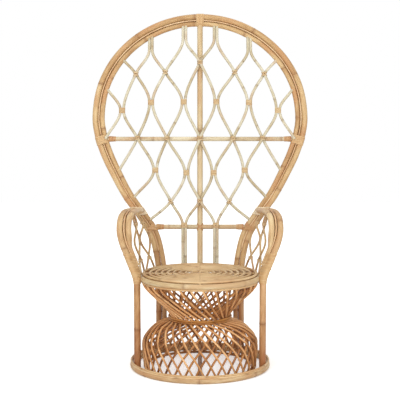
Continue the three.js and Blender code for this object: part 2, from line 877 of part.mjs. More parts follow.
// The band over an arm's end runs level round the leaning bundle
function armEndBand(growth) {
  const height = armEndWrapHeight + 2 * growth;
  const slab = new THREE.BoxGeometry(2 * hoopHalfWidth, 2 * hoopHalfWidth, height);
  slab.translate(0, armEndPlace.y, armEndPlace.z);
  return toSolid(sleeve(armEndStation, 3 * armEndWrapHeight, growth)).intersect(toSolid(slab));
}

function bar(height, radius, growth) {
  const start = onBack(0, height, 0);
  return straightRod(start, onBack(innerPoleAtHeight(height).x, height, 0), radius + growth, poleSides);
}

function centrePost(growth) {
  const foot = onBack(0, seatRingHeight, 0);
  const head = onBack(0, crownHeight - outerPoleRadius, 0);
  return straightRod(foot, head, centrePostRadius + growth, poleSides);
}

function backRail(growth) {
  const end = innerPoleAtHeight(seatRingHeight);
  const start = end.clone().setX(-end.x);
  return straightRod(start, end, backRailRadius + growth, poleSides);
}

const centrePostSeat = toSolid(centrePost(seatingGap));
const backRailSeat = toSolid(backRail(seatingGap));
const topSleeveSeat = toSolid(sleeve(0.5, topWrapLength, seatingGap));
const rightSleeveSeats = [
  toSolid(sleeve(upperBarStation, upperBarWrapLength, seatingGap)),
  toSolid(sleeve(lowerBarStation, lowerBarWrapLength, seatingGap)),
  armEndBand(seatingGap),
];

function addBackFrame() {
  const outerPole = rod(outerPolePath, outerPoleRadius, poleSides, hoopStations);
  const innerPole = rod(innerPolePath, innerPoleRadius, poleSides, hoopStations);
  addPiece('hoop_outer_pole', trimmed(outerPole, footSeats), poleMaterial);
  addPiece('hoop_inner_pole', trimmed(innerPole, footSeats), poleMaterial);
  addPiece('hoop_filler', rod(fillerPath, hoopFillerRadius, rodSides, fillerSteps), rodMaterial);
  const postCutters = [backRailSeat, seatRingSeat, innerPoleSeat, topSleeveSeat];
  addPiece('centre_post', trimmed(centrePost(0), postCutters), poleMaterial);
  addPiece('seat_back_rail', trimmed(backRail(0), [innerPoleSeat]), poleMaterial);
  addPiece('hoop_top_wrap', trimmed(sleeve(0.5, topWrapLength, 0), bothPoleSeats), caneMaterial);
  const bars = [
    ['upper_crossbar', upperBarHeight, upperBarRadius, upperBarStation, upperBarWrapLength],
    ['lower_crossbar', lowerBarHeight, lowerBarRadius, lowerBarStation, lowerBarWrapLength],
  ];
  for (const [name, height, radius, station, length] of bars) {
    addPair(name, trimmed(bar(height, radius, 0), [centrePostSeat, innerPoleSeat]), poleMaterial);
    const barSeat = toSolid(bar(height, radius, seatingGap));
    addPair(`${name}_wrap`, trimmed(sleeve(station, length, 0), [...bothPoleSeats, barSeat]), caneMaterial);
  }
}

// Lattice of the back. Knots: shares of the hoop's half width and of the chair's height
const knotShares = {
  pairOuter: [0.455, 0.889],
  pairInner: [0.144, 0.921],
  centreHigh: [0, 0.854],
  innerHigh: [0.321, 0.825],
  outerHigh: [0.593, 0.82],
  kissCentre: [0.151, 0.7385],
  kissSide: [0.453, 0.7365],
  kissEdge: [0.721, 0.7135],
  centreMid: [0, 0.6315],
  innerMid: [0.305, 0.6315],
  outerMid: [0.579, 0.6325],
  kissLow: [0.126, 0.5305],
  kissFlank: [0.414, 0.5385],
  centreLow: [0, 0.449],
  innerLow: [0.27, 0.4465],
  kissBar: [0.147, 0.3765],
};
const onPost = ['centreHigh', 'centreMid', 'centreLow'];
const rodLayerStep = 2 * latticeRodRadius + seatingGap;
const tipForward = innerPoleRadius / 2;

// One stop of a rod: the knot, which side of it, and front 1, rear -1 or level 0
function stop(name, side, layer, mirror = 1) {
  const [outShare, upShare] = knotShares[name];
  const x = mirror * (hoopHalfWidth * outShare + (side * rodLayerStep) / 2);
  const under = onPost.includes(name) ? centrePostRadius : lowerBarRadius;
  const rear = under + seatingGap + latticeRodRadius;
  const forward = name === 'kissBar' ? rear : rear + ((layer + 1) * rodLayerStep) / 2;
  return knot(onBack(x, chairHeight * upShare, forward), layer === 0);
}

function tipOnHoop(place) {
  return knot(place.addScaledVector(backForward, tipForward));
}

function tipAtHeight(heightShare) {
  return tipOnHoop(innerPoleAtHeight(chairHeight * heightShare));
}

function tipAtPair(name, side) {
  return tipOnHoop(innerPoleAtWidth(hoopHalfWidth * knotShares[name][0] + (side * rodLayerStep) / 2));
}

function footOnRail(side, mirror) {
  const x = mirror * (hoopHalfWidth * knotShares.kissBar[0] + (side * rodLayerStep) / 2);
  return knot(onBack(x, seatRingHeight, backRailRadius + seatingGap + latticeRodRadius), true);
}

function tipAtBar() {
  const forward = upperBarRadius + seatingGap + latticeRodRadius;
  return knot(onBack(innerPoleAtHeight(upperBarHeight).x, upperBarHeight, forward));
}

// The right half's rods, by the knots they pass from the crown down
function latticeRodKnots(centreLayer) {
  return [
    [
      tipAtPair('pairOuter', 1),
      stop('pairOuter', 1, 0),
      stop('outerHigh', 0, 1),
      stop('kissEdge', -1, 0),
      stop('outerMid', 0, 1),
      stop('kissFlank', 1, 0),
      tipAtHeight(0.456),
    ],
    [
      tipAtPair('pairOuter', -1),
      stop('pairOuter', -1, 0),
      stop('innerHigh', 0, -1),
      stop('kissCentre', 1, 0),
      stop('innerMid', 0, -1),
      stop('kissFlank', -1, 0),
      stop('innerLow', 0, -1),
      stop('kissBar', 1, 0),
      footOnRail(1, 1),
    ],
    [
      tipAtPair('pairInner', 1),
      stop('pairInner', 1, 0),
      stop('innerHigh', 0, 1),
      stop('kissSide', -1, 0),
      stop('innerMid', 0, 1),
      stop('kissLow', 1, 0),
      stop('innerLow', 0, 1),
      tipAtHeight(0.39),
    ],
    [
      tipAtPair('pairInner', -1),
      stop('pairInner', -1, 0),
      stop('centreHigh', 0, centreLayer),
      stop('kissCentre', -1, 0, -1),
      stop('centreMid', 0, centreLayer),
      stop('kissLow', -1, 0),
      stop('centreLow', 0, centreLayer),
      stop('kissBar', -1, 0, -1),
      footOnRail(-1, -1),
    ],
    [
      tipAtHeight(0.864),
      stop('outerHigh', 0, -1),
      stop('kissSide', 1, 0),
      stop('outerMid', 0, -1),
      tipAtHeight(0.536),
    ],
    [
      tipAtHeight(0.779),
      stop('kissEdge', 1, 0),
      tipAtBar(),
    ],
  ];
}

function addBackLattice() {
  const cutters = [outerPoleSeat, innerPoleSeat, backRailSeat, seatRingSeat, ...rightSleeveSeats];
  const shaped = (knots) => {
    const bent = bentRod(knots, latticeRodRadius, thinSides, latticeStepsPerSpan);
    return trimmed(bent, cutters);
  };
  latticeRodKnots(-1).forEach((knots, k) => {
    addPiece(`lattice_rod_right_${k + 1}`, shaped(knots), rodMaterial);
  });
  latticeRodKnots(1).forEach((knots, k) => {
    addPiece(`lattice_rod_left_${k + 1}`, mirroredX(shaped(knots)), rodMaterial);
  });
}

function addArms() {
  const postSeat = toSolid(frontPost(seatingGap));
  const outerSeat = toSolid(armOuterPole(seatingGap));
  const innerSeat = toSolid(armInnerPole(seatingGap));
  const armFillerSeat = toSolid(armFiller(seatingGap));
  addPair('front_post', trimmed(frontPost(0), [baseRingSeat, floorSeat]), poleMaterial);
  addPair('arm_outer_pole', trimmed(armOuterPole(0), [...bothPoleSeats, postSeat]), poleMaterial);
  addPair('arm_inner_pole', trimmed(armInnerPole(0), bothPoleSeats), poleMaterial);
  addPair('arm_filler', trimmed(armFiller(0), bothPoleSeats), rodMaterial);
  const underHoop = seatUnderHoop(seatingGap);
  const underHoopSeats = [underHoop, mirroredX(underHoop)].map(toSolid);
  const inside = [postSeat, outerSeat, innerSeat, armFillerSeat, seatRingSeat, ...underHoopSeats];
  addPair('arm_post_wrap', trimmed(postWrap(), inside), caneMaterial);
  const endCutters = [...bothPoleSeats, outerSeat, innerSeat, armFillerSeat];
  addPair('arm_end_wrap', cutDown(armEndBand(0), endCutters), caneMaterial);
}

// Lattice under each arm. Shares of the rise from ring to arm, of the swing along the arm,
// of the step between layers where rods cross, and of the way out from ring to arm.
const sideRodShares = [
  [0, -1, 0, 0],
  [0.24, 0, 1, 0.21],
  [0.55, 1, 0, 0.6],
  [0.82, 0, 1, 0.7],
  [1, -0.45, 0, 1],
];
const sideHugShare = 0.19;
const sideLayerShare = 1.2;

// Between its ends a rod stays further in the further back it is
function sideOutShare(out, y) {
  const isEnd = out === 0 || out === 1;
  return isEnd ? out : out - (sideHugShare * (y - sideColumnStart)) / sideColumnPitch;
}

function addSideLattice() {
  const innerSeat = toSolid(armInnerPole(seatingGap));
  const swing = (sideColumnPitch - 2 * sideRodRadius - seatingGap) / 2;
  const layerStep = sideLayerShare * sideRodRadius;
  const footReach = coilOuterRadius + coilRodRadius + seatingGap + sideRodRadius;
  for (let column = 0; column < sideColumnCount; column += 1) {
    for (const [name, lean] of [['front', -1], ['rear', 1]]) {
      const knots = sideRodShares.map(([rise, swingShare, layer, out]) => {
        const y = sideColumnStart + column * sideColumnPitch + lean * swing * swingShare;
        const foot = new THREE.Vector3(Math.sqrt(footReach * footReach - y * y), y, seatRingHeight);
        const head = armInnerPath.getPoint(armDepthShare(y));
        const x = THREE.MathUtils.lerp(foot.x, head.x, sideOutShare(out, y)) + lean * layerStep * layer;
        return knot(new THREE.Vector3(x, y, THREE.MathUtils.lerp(foot.z, head.z, rise)));
      });
      const shape = bentRod(knots, sideRodRadius, thinSides, sideStepsPerSpan);
      addPair(`side_lattice_${name}_${column + 1}`, trimmed(shape, [innerSeat, seatRingSeat]), rodMaterial);
    }
  }
}

// Where the arm's inner pole passes a depth on its way back, by halving
function armDepthShare(depth) {
  let ahead = 0.3;
  let behind = 1;
  for (let k = 0; k < 30; k += 1) {
    const middle = (ahead + behind) / 2;
    if (armInnerPath.getPoint(middle).y < depth) {
      ahead = middle;
    } else {
      behind = middle;
    }
  }
  return ahead;
}

addBase();
addHourglass();
addSeat();
addBackFrame();
addBackLattice();
addArms();
addSideLattice();

// The origin is the middle of the footprint
const extent = new THREE.Box3().setFromObject(chair);
chair.position.y = -(extent.min.y + extent.max.y) / 2;

export default chair;
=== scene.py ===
"""Peacock chair of bent rattan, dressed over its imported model.

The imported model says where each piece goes. Here its plain rods become round rattan with nodes
and grain, its sleeves become turns of flat cane, and ties, tacks, a floor, light and the camera
are added. Metres, +Z up, the sitter looks along -Y. Paths are drawn about the centre of the
seat, and the workshop moves them to where the model has it.
"""
from __future__ import annotations

import logging
import math
import random
from collections.abc import Callable, Sequence
from dataclasses import dataclass, field, replace
from enum import Enum

import bpy
import numpy as np
from mathutils import Matrix, Vector


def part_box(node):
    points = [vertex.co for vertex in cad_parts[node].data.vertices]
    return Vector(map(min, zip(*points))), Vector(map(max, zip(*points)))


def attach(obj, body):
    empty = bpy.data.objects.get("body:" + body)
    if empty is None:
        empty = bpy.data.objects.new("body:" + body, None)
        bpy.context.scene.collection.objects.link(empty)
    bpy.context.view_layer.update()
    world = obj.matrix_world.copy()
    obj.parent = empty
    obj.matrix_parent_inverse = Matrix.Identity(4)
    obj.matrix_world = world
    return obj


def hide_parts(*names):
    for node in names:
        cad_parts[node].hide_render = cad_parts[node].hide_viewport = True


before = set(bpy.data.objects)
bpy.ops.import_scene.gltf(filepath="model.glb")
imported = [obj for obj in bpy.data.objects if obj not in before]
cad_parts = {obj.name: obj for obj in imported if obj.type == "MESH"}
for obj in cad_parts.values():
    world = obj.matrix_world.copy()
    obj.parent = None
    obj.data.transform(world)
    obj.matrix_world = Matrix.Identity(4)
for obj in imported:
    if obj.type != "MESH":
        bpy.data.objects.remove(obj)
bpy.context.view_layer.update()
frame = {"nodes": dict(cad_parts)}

SEED = 7
GRAIN_MAP = "grain"
GRAIN_TURNS = 900
COPY_TURNS = 90
SMOOTH_ANGLE = math.radians(50)
WELD_DISTANCE = 1e-6
KEY_STEPS = 1e5
ACROSS = Vector((1, 0, 0))
BACKWARD = Vector((0, 1, 0))
UP = Vector((0, 0, 1))

Piece = bpy.types.Object
Tree = bpy.types.NodeTree
Socket = bpy.types.NodeSocket

log = logging.getLogger("peacock_chair")


class Slot(Enum):
    """The finishes that the record names."""

    POLE = "rattan_pole"
    CORE = "rattan_core"
    CANE = "cane_wrap"


class Look(Enum):
    """What a kind of piece looks like: its number and the slot that it has in the record."""

    POLE = 1, Slot.POLE
    POST = 2, Slot.POLE
    BACK_BAR = 3, Slot.POLE
    CROSSBAR = 4, Slot.POLE
    BASE = 5, Slot.POLE
    STRETCHER = 6, Slot.POLE
    ARM_POLE = 7, Slot.POLE
    PALE_END = 8, Slot.POLE
    LATTICE = 9, Slot.CORE
    SEAT_ROD = 10, Slot.CORE
    OUTER_TWIST = 11, Slot.CORE
    INNER_TWIST = 12, Slot.CORE
    WAIST = 13, Slot.CORE
    FILLER = 14, Slot.CORE
    GROOVE_SHADE = 15, Slot.CORE
    BASE_HOOP = 16, Slot.CORE
    SIDE_ROD = 17, Slot.CORE
    CANE = 18, Slot.CANE
    END_CANE = 19, Slot.CANE
    TIE = 20, Slot.CANE
    LASHING = 21, Slot.CANE
    TACK = 22, None

    @property
    def slot(self) -> Slot | None:
        """The record's slot, or None for trim that the record leaves out."""
        return self.value[1]


class Side(Enum):
    """The two halves of the chair, by the sign of x."""

    LEFT = -1
    RIGHT = 1

    @property
    def word(self) -> str:
        """The side's name as it stands in a node's name."""
        return self.name.lower()


# Numbers and curves


def lerp(start: float, end: float, share: float) -> float:
    """Return the value a share of the way from start to end."""
    return start + (end - start) * share


def smoothstep(value: float, low: float, high: float) -> float:
    """Return 0 below low, 1 above high, and a smooth rise between."""
    share = min(max((value - low) / (high - low), 0.0), 1.0)
    return share * share * (3 - 2 * share)


def on_side(path: Sequence[Vector], side: Side) -> list[Vector]:
    """Return a path of the right half as it runs on the given side."""
    return [Vector((side.value * place.x, place.y, place.z)) for place in path]


def lengths_along(places: np.ndarray) -> np.ndarray:
    """Return how far along a line each of its places is."""
    return np.concatenate([[0], np.cumsum(np.linalg.norm(np.diff(places, axis=0), axis=1))])


def level_circle(radius: float, height: float, count: int = 120) -> list[Vector]:
    """Return places round a level circle about the seat's axis, from the back."""
    turns = [math.tau * k / count + math.pi / 2 for k in range(count)]
    return [Vector((radius * math.cos(turn), radius * math.sin(turn), height)) for turn in turns]


def smooth_line(points: Sequence[Vector], per_span: int = 24) -> list[Vector]:
    """Run a centripetal Catmull-Rom line through points.

    Args:
        points: The places that the line passes.
        per_span: How many steps it takes between two of them.

    Returns:
        The places along the line.
    """
    guides = [points[0] * 2 - points[1], *points, points[-1] * 2 - points[-2]]
    slopes = []
    for before, start, end, after in zip(guides, guides[1:], guides[2:], guides[3:]):
        pairs = ((before, start), (start, end), (end, after))
        spans = [math.sqrt((b - a).length) for a, b in pairs]
        lead = (start - before) / spans[0] - (end - before) / (spans[0] + spans[1])
        trail = (after - end) / spans[2] - (after - start) / (spans[1] + spans[2])
        straight = (end - start) / spans[1]
        slopes.append(((lead + straight) * spans[1], (trail + straight) * spans[1]))
    return cubics(points, slopes, per_span)


def cubics(places: Sequence[Vector], slopes: Sequence[tuple[Vector, Vector]],
           per_span: int) -> list[Vector]:
    """Run a cubic between each two places.

    Args:
        places: The places in order.
        slopes: The slopes that each cubic has at its two ends.
        per_span: How many steps it takes.

    Returns:
        The places along the line.
    """
    line = [places[0].copy()]
    for start, end, (lead, trail) in zip(places, places[1:], slopes):
        for k in range(1, per_span + 1):
            share = k / per_span
            rest = 1 - share
            line.append(start * ((1 + 2 * share) * rest * rest)
                        + end * (share * share * (3 - 2 * share))
                        + lead * (share * rest * rest) - trail * (share * share * rest))
    return line


@dataclass(frozen=True)
class Knot:
    """A place that a lattice rod passes, and whether it runs straight up and down there."""

    place: Vector
    is_upright: bool = False


def knotted_line(knots: Sequence[Knot], per_span: int = 12) -> list[Vector]:
    """Run a smooth line through knots, upright where they ask for it.

    Args:
        knots: The knots in order.
        per_span: How many steps the line takes between two of them.

    Returns:
        The places along the line.
    """
    places = [knot.place for knot in knots]
    slopes = []
    for k, knot in enumerate(knots):
        before = places[max(k - 1, 0)]
        after = places[min(k + 1, len(places) - 1)]
        slope = (after - before) / ((after - knot.place).length + (knot.place - before).length)
        slopes.append(Vector((0, slope.y, slope.z)) if knot.is_upright else slope)
    spans = [(end - start).length for start, end in zip(places, places[1:])]
    ends = [(slopes[k] * span, slopes[k + 1] * span) for k, span in enumerate(spans)]
    return cubics(places, ends, per_span)


# Finishes


def linear(colour: str) -> tuple[float, float, float, float]:
    """Return an sRGB hex colour as linear light, with an alpha of 1."""
    shares = [int(colour[k:k + 2], 16) / 255 for k in (1, 3, 5)]
    return *(s / 12.92 if s <= 0.04045 else ((s + 0.055) / 1.055) ** 2.4 for s in shares), 1.0


def add_node(tree: Tree, kind: str, settings: dict | None = None,
             inputs: dict | None = None) -> bpy.types.Node:
    """Add a node with its settings and what goes into its sockets.

    Args:
        tree: The tree that takes the node.
        kind: The node's type, without the ShaderNode that all of them start with.
        settings: Properties of the node, by name.
        inputs: Values, nodes or their outputs, by the socket's name or number.

    Returns:
        The new node.
    """
    node = tree.nodes.new(f"ShaderNode{kind}")
    for key, value in (settings or {}).items():
        setattr(node, key, value)
    for key, value in (inputs or {}).items():
        source = value.outputs[0] if isinstance(value, bpy.types.Node) else value
        if isinstance(source, Socket):
            tree.links.new(source, node.inputs[key])
        else:
            node.inputs[key].default_value = source
    return node


def new_material(name: str) -> tuple[bpy.types.Material, Tree]:
    """Add a material with an empty tree.

    Args:
        name: The material's name.

    Returns:
        The material and its tree.
    """
    material = bpy.data.materials.new(name)
    material.use_nodes = True
    material.node_tree.nodes.clear()
    return material, material.node_tree


def set_ramp(node: bpy.types.Node, stops: Sequence[tuple[float, str]]) -> None:
    """Give a colour ramp its stops.

    Args:
        node: The ramp's node.
        stops: The position and the hex colour of each stop.
    """
    elements = node.color_ramp.elements
    while len(elements) < len(stops):
        elements.new(0.5)
    for element, (position, colour) in zip(elements, stops):
        element.position = position
        element.color = linear(colour)


@dataclass(frozen=True)
class RattanFinish:
    """Rattan: peeled and sanded rods or split cane, dipped in a thin satin lacquer.

    To the eye it is cream to amber wood with long fine streaks, a tone of its own in each
    internode, brown rings with a soft halo at the nodes, and a low broad shine. The grain map
    runs along a rod in internodes, with a node at each whole number, and once round it. Real
    fibres are about 0.3 mm wide, so the streaks here are bundles of them, as wide as shows.
    """

    name: str
    pale: str
    mean: str
    dark: str
    scar: str
    blush: str
    girth: float
    internode: float
    node_depth: float
    roughness: float
    coat: float
    contrast: float = 1.0
    # Painted shade towards the floor: its colour, how much of it, and the height where it fades out
    root: str = "#904618"
    floor_shade_share: float = 0.0
    floor_shade_height: float = 0.5
    streak_size: tuple[float, float] = (0.055, 0.0013)
    blotch_size: tuple[float, float] = (0.07, 0.016)
    blush_size: tuple[float, float] = (0.16, 0.05)
    fleck_size: tuple[float, float] = (0.006, 0.002)
    noise_roughness: float = 0.6
    blotch_share: float = 0.45
    tone_range: float = 0.09
    ramp_reach: float = 0.19
    blush_range: tuple[float, float] = (0.5, 0.66)
    blush_share: float = 0.75
    fleck_range: tuple[float, float] = (0.66, 0.78)
    fleck_share: float = 0.5
    ring_width: float = 0.0016
    ring_share: float = 0.55
    halo_width: float = 0.016
    scar_share: float = 0.8
    bump_height: float = 0.0004
    bump_strength: float = 0.55
    roughness_range: tuple[float, float] = (-0.07, 0.1)
    specular: float = 0.35
    coat_roughness: float = 0.3

    def build(self) -> bpy.types.Material:
        """Make the material with its nodes."""
        material, tree = new_material(self.name)
        along, place = self._grain_space(tree)
        streaks = self._noise(tree, place, self.streak_size, 3.0)
        blotches = self._noise(tree, place, self.blotch_size, 2.0)
        flecks = self._noise(tree, place, self.fleck_size, 1.0)
        near_node = self._distance_to_node(tree, along)
        ring = self._falloff(tree, near_node, self.ring_width)
        halo = self._falloff(tree, near_node, self.halo_width)
        colour = self._toned(tree, along, streaks, blotches)
        colour = self._scarred(tree, colour, blotches, flecks, ring, halo)
        # The long reddish patches of bark that peeling leaves
        patches = self._noise(tree, place, self.blush_size, 1.0)
        colour = self._overlaid(tree, colour, self.blush, patches, *self.blush_range,
                                self.blush_share)
        if self.floor_shade_share:
            # Painted shade: a pole darkens and reddens towards the floor
            spot = add_node(tree, "TexCoord").outputs["Object"]
            level = add_node(tree, "SeparateXYZ", None, {0: spot}).outputs[2]
            colour = self._overlaid(tree, colour, self.root, level, self.floor_shade_height, 0.0,
                                    self.floor_shade_share)
        height = add_node(tree, "Math", {"operation": "MULTIPLY_ADD"},
                          {0: ring, 1: -self.node_depth, 2: streaks})
        bump = add_node(tree, "Bump", None, {
            "Strength": self.bump_strength, "Distance": self.bump_height, "Height": height})
        low, high = self.roughness_range
        rough = add_node(tree, "MapRange", None, {
            "Value": streaks, "To Min": self.roughness + low, "To Max": self.roughness + high})
        shader = add_node(tree, "BsdfPrincipled", None, {
            "Base Color": colour, "Roughness": rough, "Normal": bump,
            "Specular IOR Level": self.specular, "Coat Weight": self.coat,
            "Coat Roughness": self.coat_roughness})
        add_node(tree, "OutputMaterial", None, {"Surface": shader})
        return material

    def _grain_space(self, tree: Tree) -> tuple[Socket, Socket]:
        """Read the grain map.

        Args:
            tree: The material's tree.

        Returns:
            The count of internodes, and a place in metres that closes round the rod.
        """
        grain = add_node(tree, "UVMap", {"uv_map": GRAIN_MAP})
        parts = add_node(tree, "SeparateXYZ", None, {0: grain})
        angle = add_node(tree, "Math", {"operation": "MULTIPLY"},
                         {0: parts.outputs[1], 1: math.tau})
        length = add_node(tree, "Math", {"operation": "MULTIPLY"}, {0: parts, 1: self.internode})
        sides = []
        for turn in ("COSINE", "SINE"):
            wave = add_node(tree, "Math", {"operation": turn}, {0: angle})
            sides.append(add_node(tree, "Math", {"operation": "MULTIPLY"},
                                  {0: wave, 1: self.girth}))
        place = add_node(tree, "CombineXYZ", None, {0: length, 1: sides[0], 2: sides[1]})
        return parts.outputs[0], place.outputs[0]

    def _noise(self, tree: Tree, place: Socket, size: tuple[float, float],
               detail: float) -> Socket:
        """Draw noise along the rod.

        Args:
            tree: The material's tree.
            place: The place in metres.
            size: How long and how wide its grains are.
            detail: How many finer octaves it has.

        Returns:
            The noise, about 0.5.
        """
        length, width = size
        scaled = add_node(tree, "VectorMath", {"operation": "MULTIPLY"},
                          {0: place, 1: (1 / length, 1 / width, 1 / width)})
        return add_node(tree, "TexNoise", None, {
            "Vector": scaled, "Scale": 1.0, "Detail": detail,
            "Roughness": self.noise_roughness}).outputs[0]

    def _distance_to_node(self, tree: Tree, along: Socket) -> Socket:
        """Measure how far the nearest node is.

        Args:
            tree: The material's tree.
            along: The count of internodes.

        Returns:
            The distance along the rod, in metres.
        """
        shifted = add_node(tree, "Math", {"operation": "ADD"}, {0: along, 1: 0.5})
        share = add_node(tree, "Math", {"operation": "FRACT"}, {0: shifted})
        centred = add_node(tree, "Math", {"operation": "SUBTRACT"}, {0: share, 1: 0.5})
        size = add_node(tree, "Math", {"operation": "ABSOLUTE"}, {0: centred})
        return add_node(tree, "Math", {"operation": "MULTIPLY"},
                        {0: size, 1: self.internode}).outputs[0]

    def _falloff(self, tree: Tree, distance: Socket, width: float) -> Socket:
        """Return 1 at a node and 0 beyond a width from it."""
        return add_node(tree, "MapRange", {"interpolation_type": "SMOOTHSTEP"}, {
            "Value": distance, "From Min": width, "From Max": 0.0}).outputs[0]

    def _toned(self, tree: Tree, along: Socket, streaks: Socket, blotches: Socket) -> Socket:
        """Colour the streaks, with a tone of its own for each internode.

        Args:
            tree: The material's tree.
            along: The count of internodes.
            streaks: The fine noise.
            blotches: The broad noise.

        Returns:
            The colour.
        """
        count = add_node(tree, "Math", {"operation": "FLOOR"}, {0: along})
        tone = add_node(tree, "TexWhiteNoise", {"noise_dimensions": "1D"}, {"W": count})
        mixed = add_node(tree, "Mix", None, {0: self.blotch_share, 2: streaks, 3: blotches})
        level = add_node(tree, "MapRange", None, {
            "Value": tone, "To Min": -self.tone_range, "To Max": self.tone_range})
        total = add_node(tree, "Math", {"operation": "ADD"}, {0: mixed, 1: level})
        ramp = add_node(tree, "ValToRGB", None, {0: total})
        reach = self.ramp_reach / self.contrast
        set_ramp(ramp, ((0.5 - reach, self.dark), (0.5, self.mean), (0.5 + reach, self.pale)))
        return ramp.outputs[0]

    def _scarred(self, tree: Tree, colour: Socket, blotches: Socket, flecks: Socket,
                 ring: Socket, halo: Socket) -> Socket:
        """Brown the colour at the nodes and in small flecks.

        Args:
            tree: The material's tree.
            colour: The colour so far.
            blotches: The broad noise, which breaks up the halo.
            flecks: The noise that sets the flecks.
            ring: 1 on a node.
            halo: 1 on a node, with a wider fade.

        Returns:
            The colour.
        """
        smudge = add_node(tree, "Math", {"operation": "MULTIPLY"}, {0: halo, 1: blotches})
        low, high = self.fleck_range
        specks = add_node(tree, "MapRange", None, {
            "Value": flecks, "From Min": low, "From Max": high, "To Max": self.fleck_share})
        marks = add_node(tree, "Math", {"operation": "MAXIMUM"}, {0: smudge, 1: specks})
        brown = add_node(tree, "Math", {"operation": "MULTIPLY_ADD"},
                         {0: ring, 1: self.ring_share * min(self.node_depth, 1.0), 2: marks})
        share = add_node(tree, "Math", {"operation": "MULTIPLY", "use_clamp": True},
                         {0: brown, 1: self.scar_share})
        return self._blended(tree, share.outputs[0], colour, self.scar)

    def _overlaid(self, tree: Tree, colour: Socket, other: str, value: Socket, low: float,
                  high: float, most: float) -> Socket:
        """Return the colour with another one over it, from none at low to most at high."""
        share = add_node(tree, "MapRange", {"interpolation_type": "SMOOTHSTEP"}, {
            "Value": value, "From Min": low, "From Max": high, "To Max": most})
        return self._blended(tree, share.outputs[0], colour, other)

    def _blended(self, tree: Tree, share: Socket, colour: Socket, other: str) -> Socket:
        """Return the colour with a share of another one laid over it."""
        return add_node(tree, "Mix", {"data_type": "RGBA"},
                        {0: share, 6: colour, 7: linear(other)}).outputs[2]


@dataclass(frozen=True)
class NailFinish:
    """Browned steel, as on upholstery tacks: dull dark metal with specks of rust."""

    name: str = "browned_steel_tack"
    colour: str = "#6B4A30"
    rust: str = "#8A4F26"
    rust_range: tuple[float, float] = (0.4, 0.65)
    grain: float = 0.0006
    metallic: float = 0.6
    roughness_range: tuple[float, float] = (0.35, 0.7)

    def build(self) -> bpy.types.Material:
        """Make the material with its nodes."""
        material, tree = new_material(self.name)
        place = add_node(tree, "TexCoord")
        noise = add_node(tree, "TexNoise", None, {
            "Vector": place.outputs["Object"], "Scale": 1 / self.grain, "Detail": 2.0})
        ramp = add_node(tree, "ValToRGB", None, {0: noise})
        set_ramp(ramp, tuple(zip(self.rust_range, (self.colour, self.rust))))
        smooth, dull = self.roughness_range
        rough = add_node(tree, "MapRange", None,
                         {"Value": noise, "To Min": smooth, "To Max": dull})
        shader = add_node(tree, "BsdfPrincipled", None, {
            "Base Color": ramp, "Metallic": self.metallic, "Roughness": rough})
        add_node(tree, "OutputMaterial", None, {"Surface": shader})
        return material


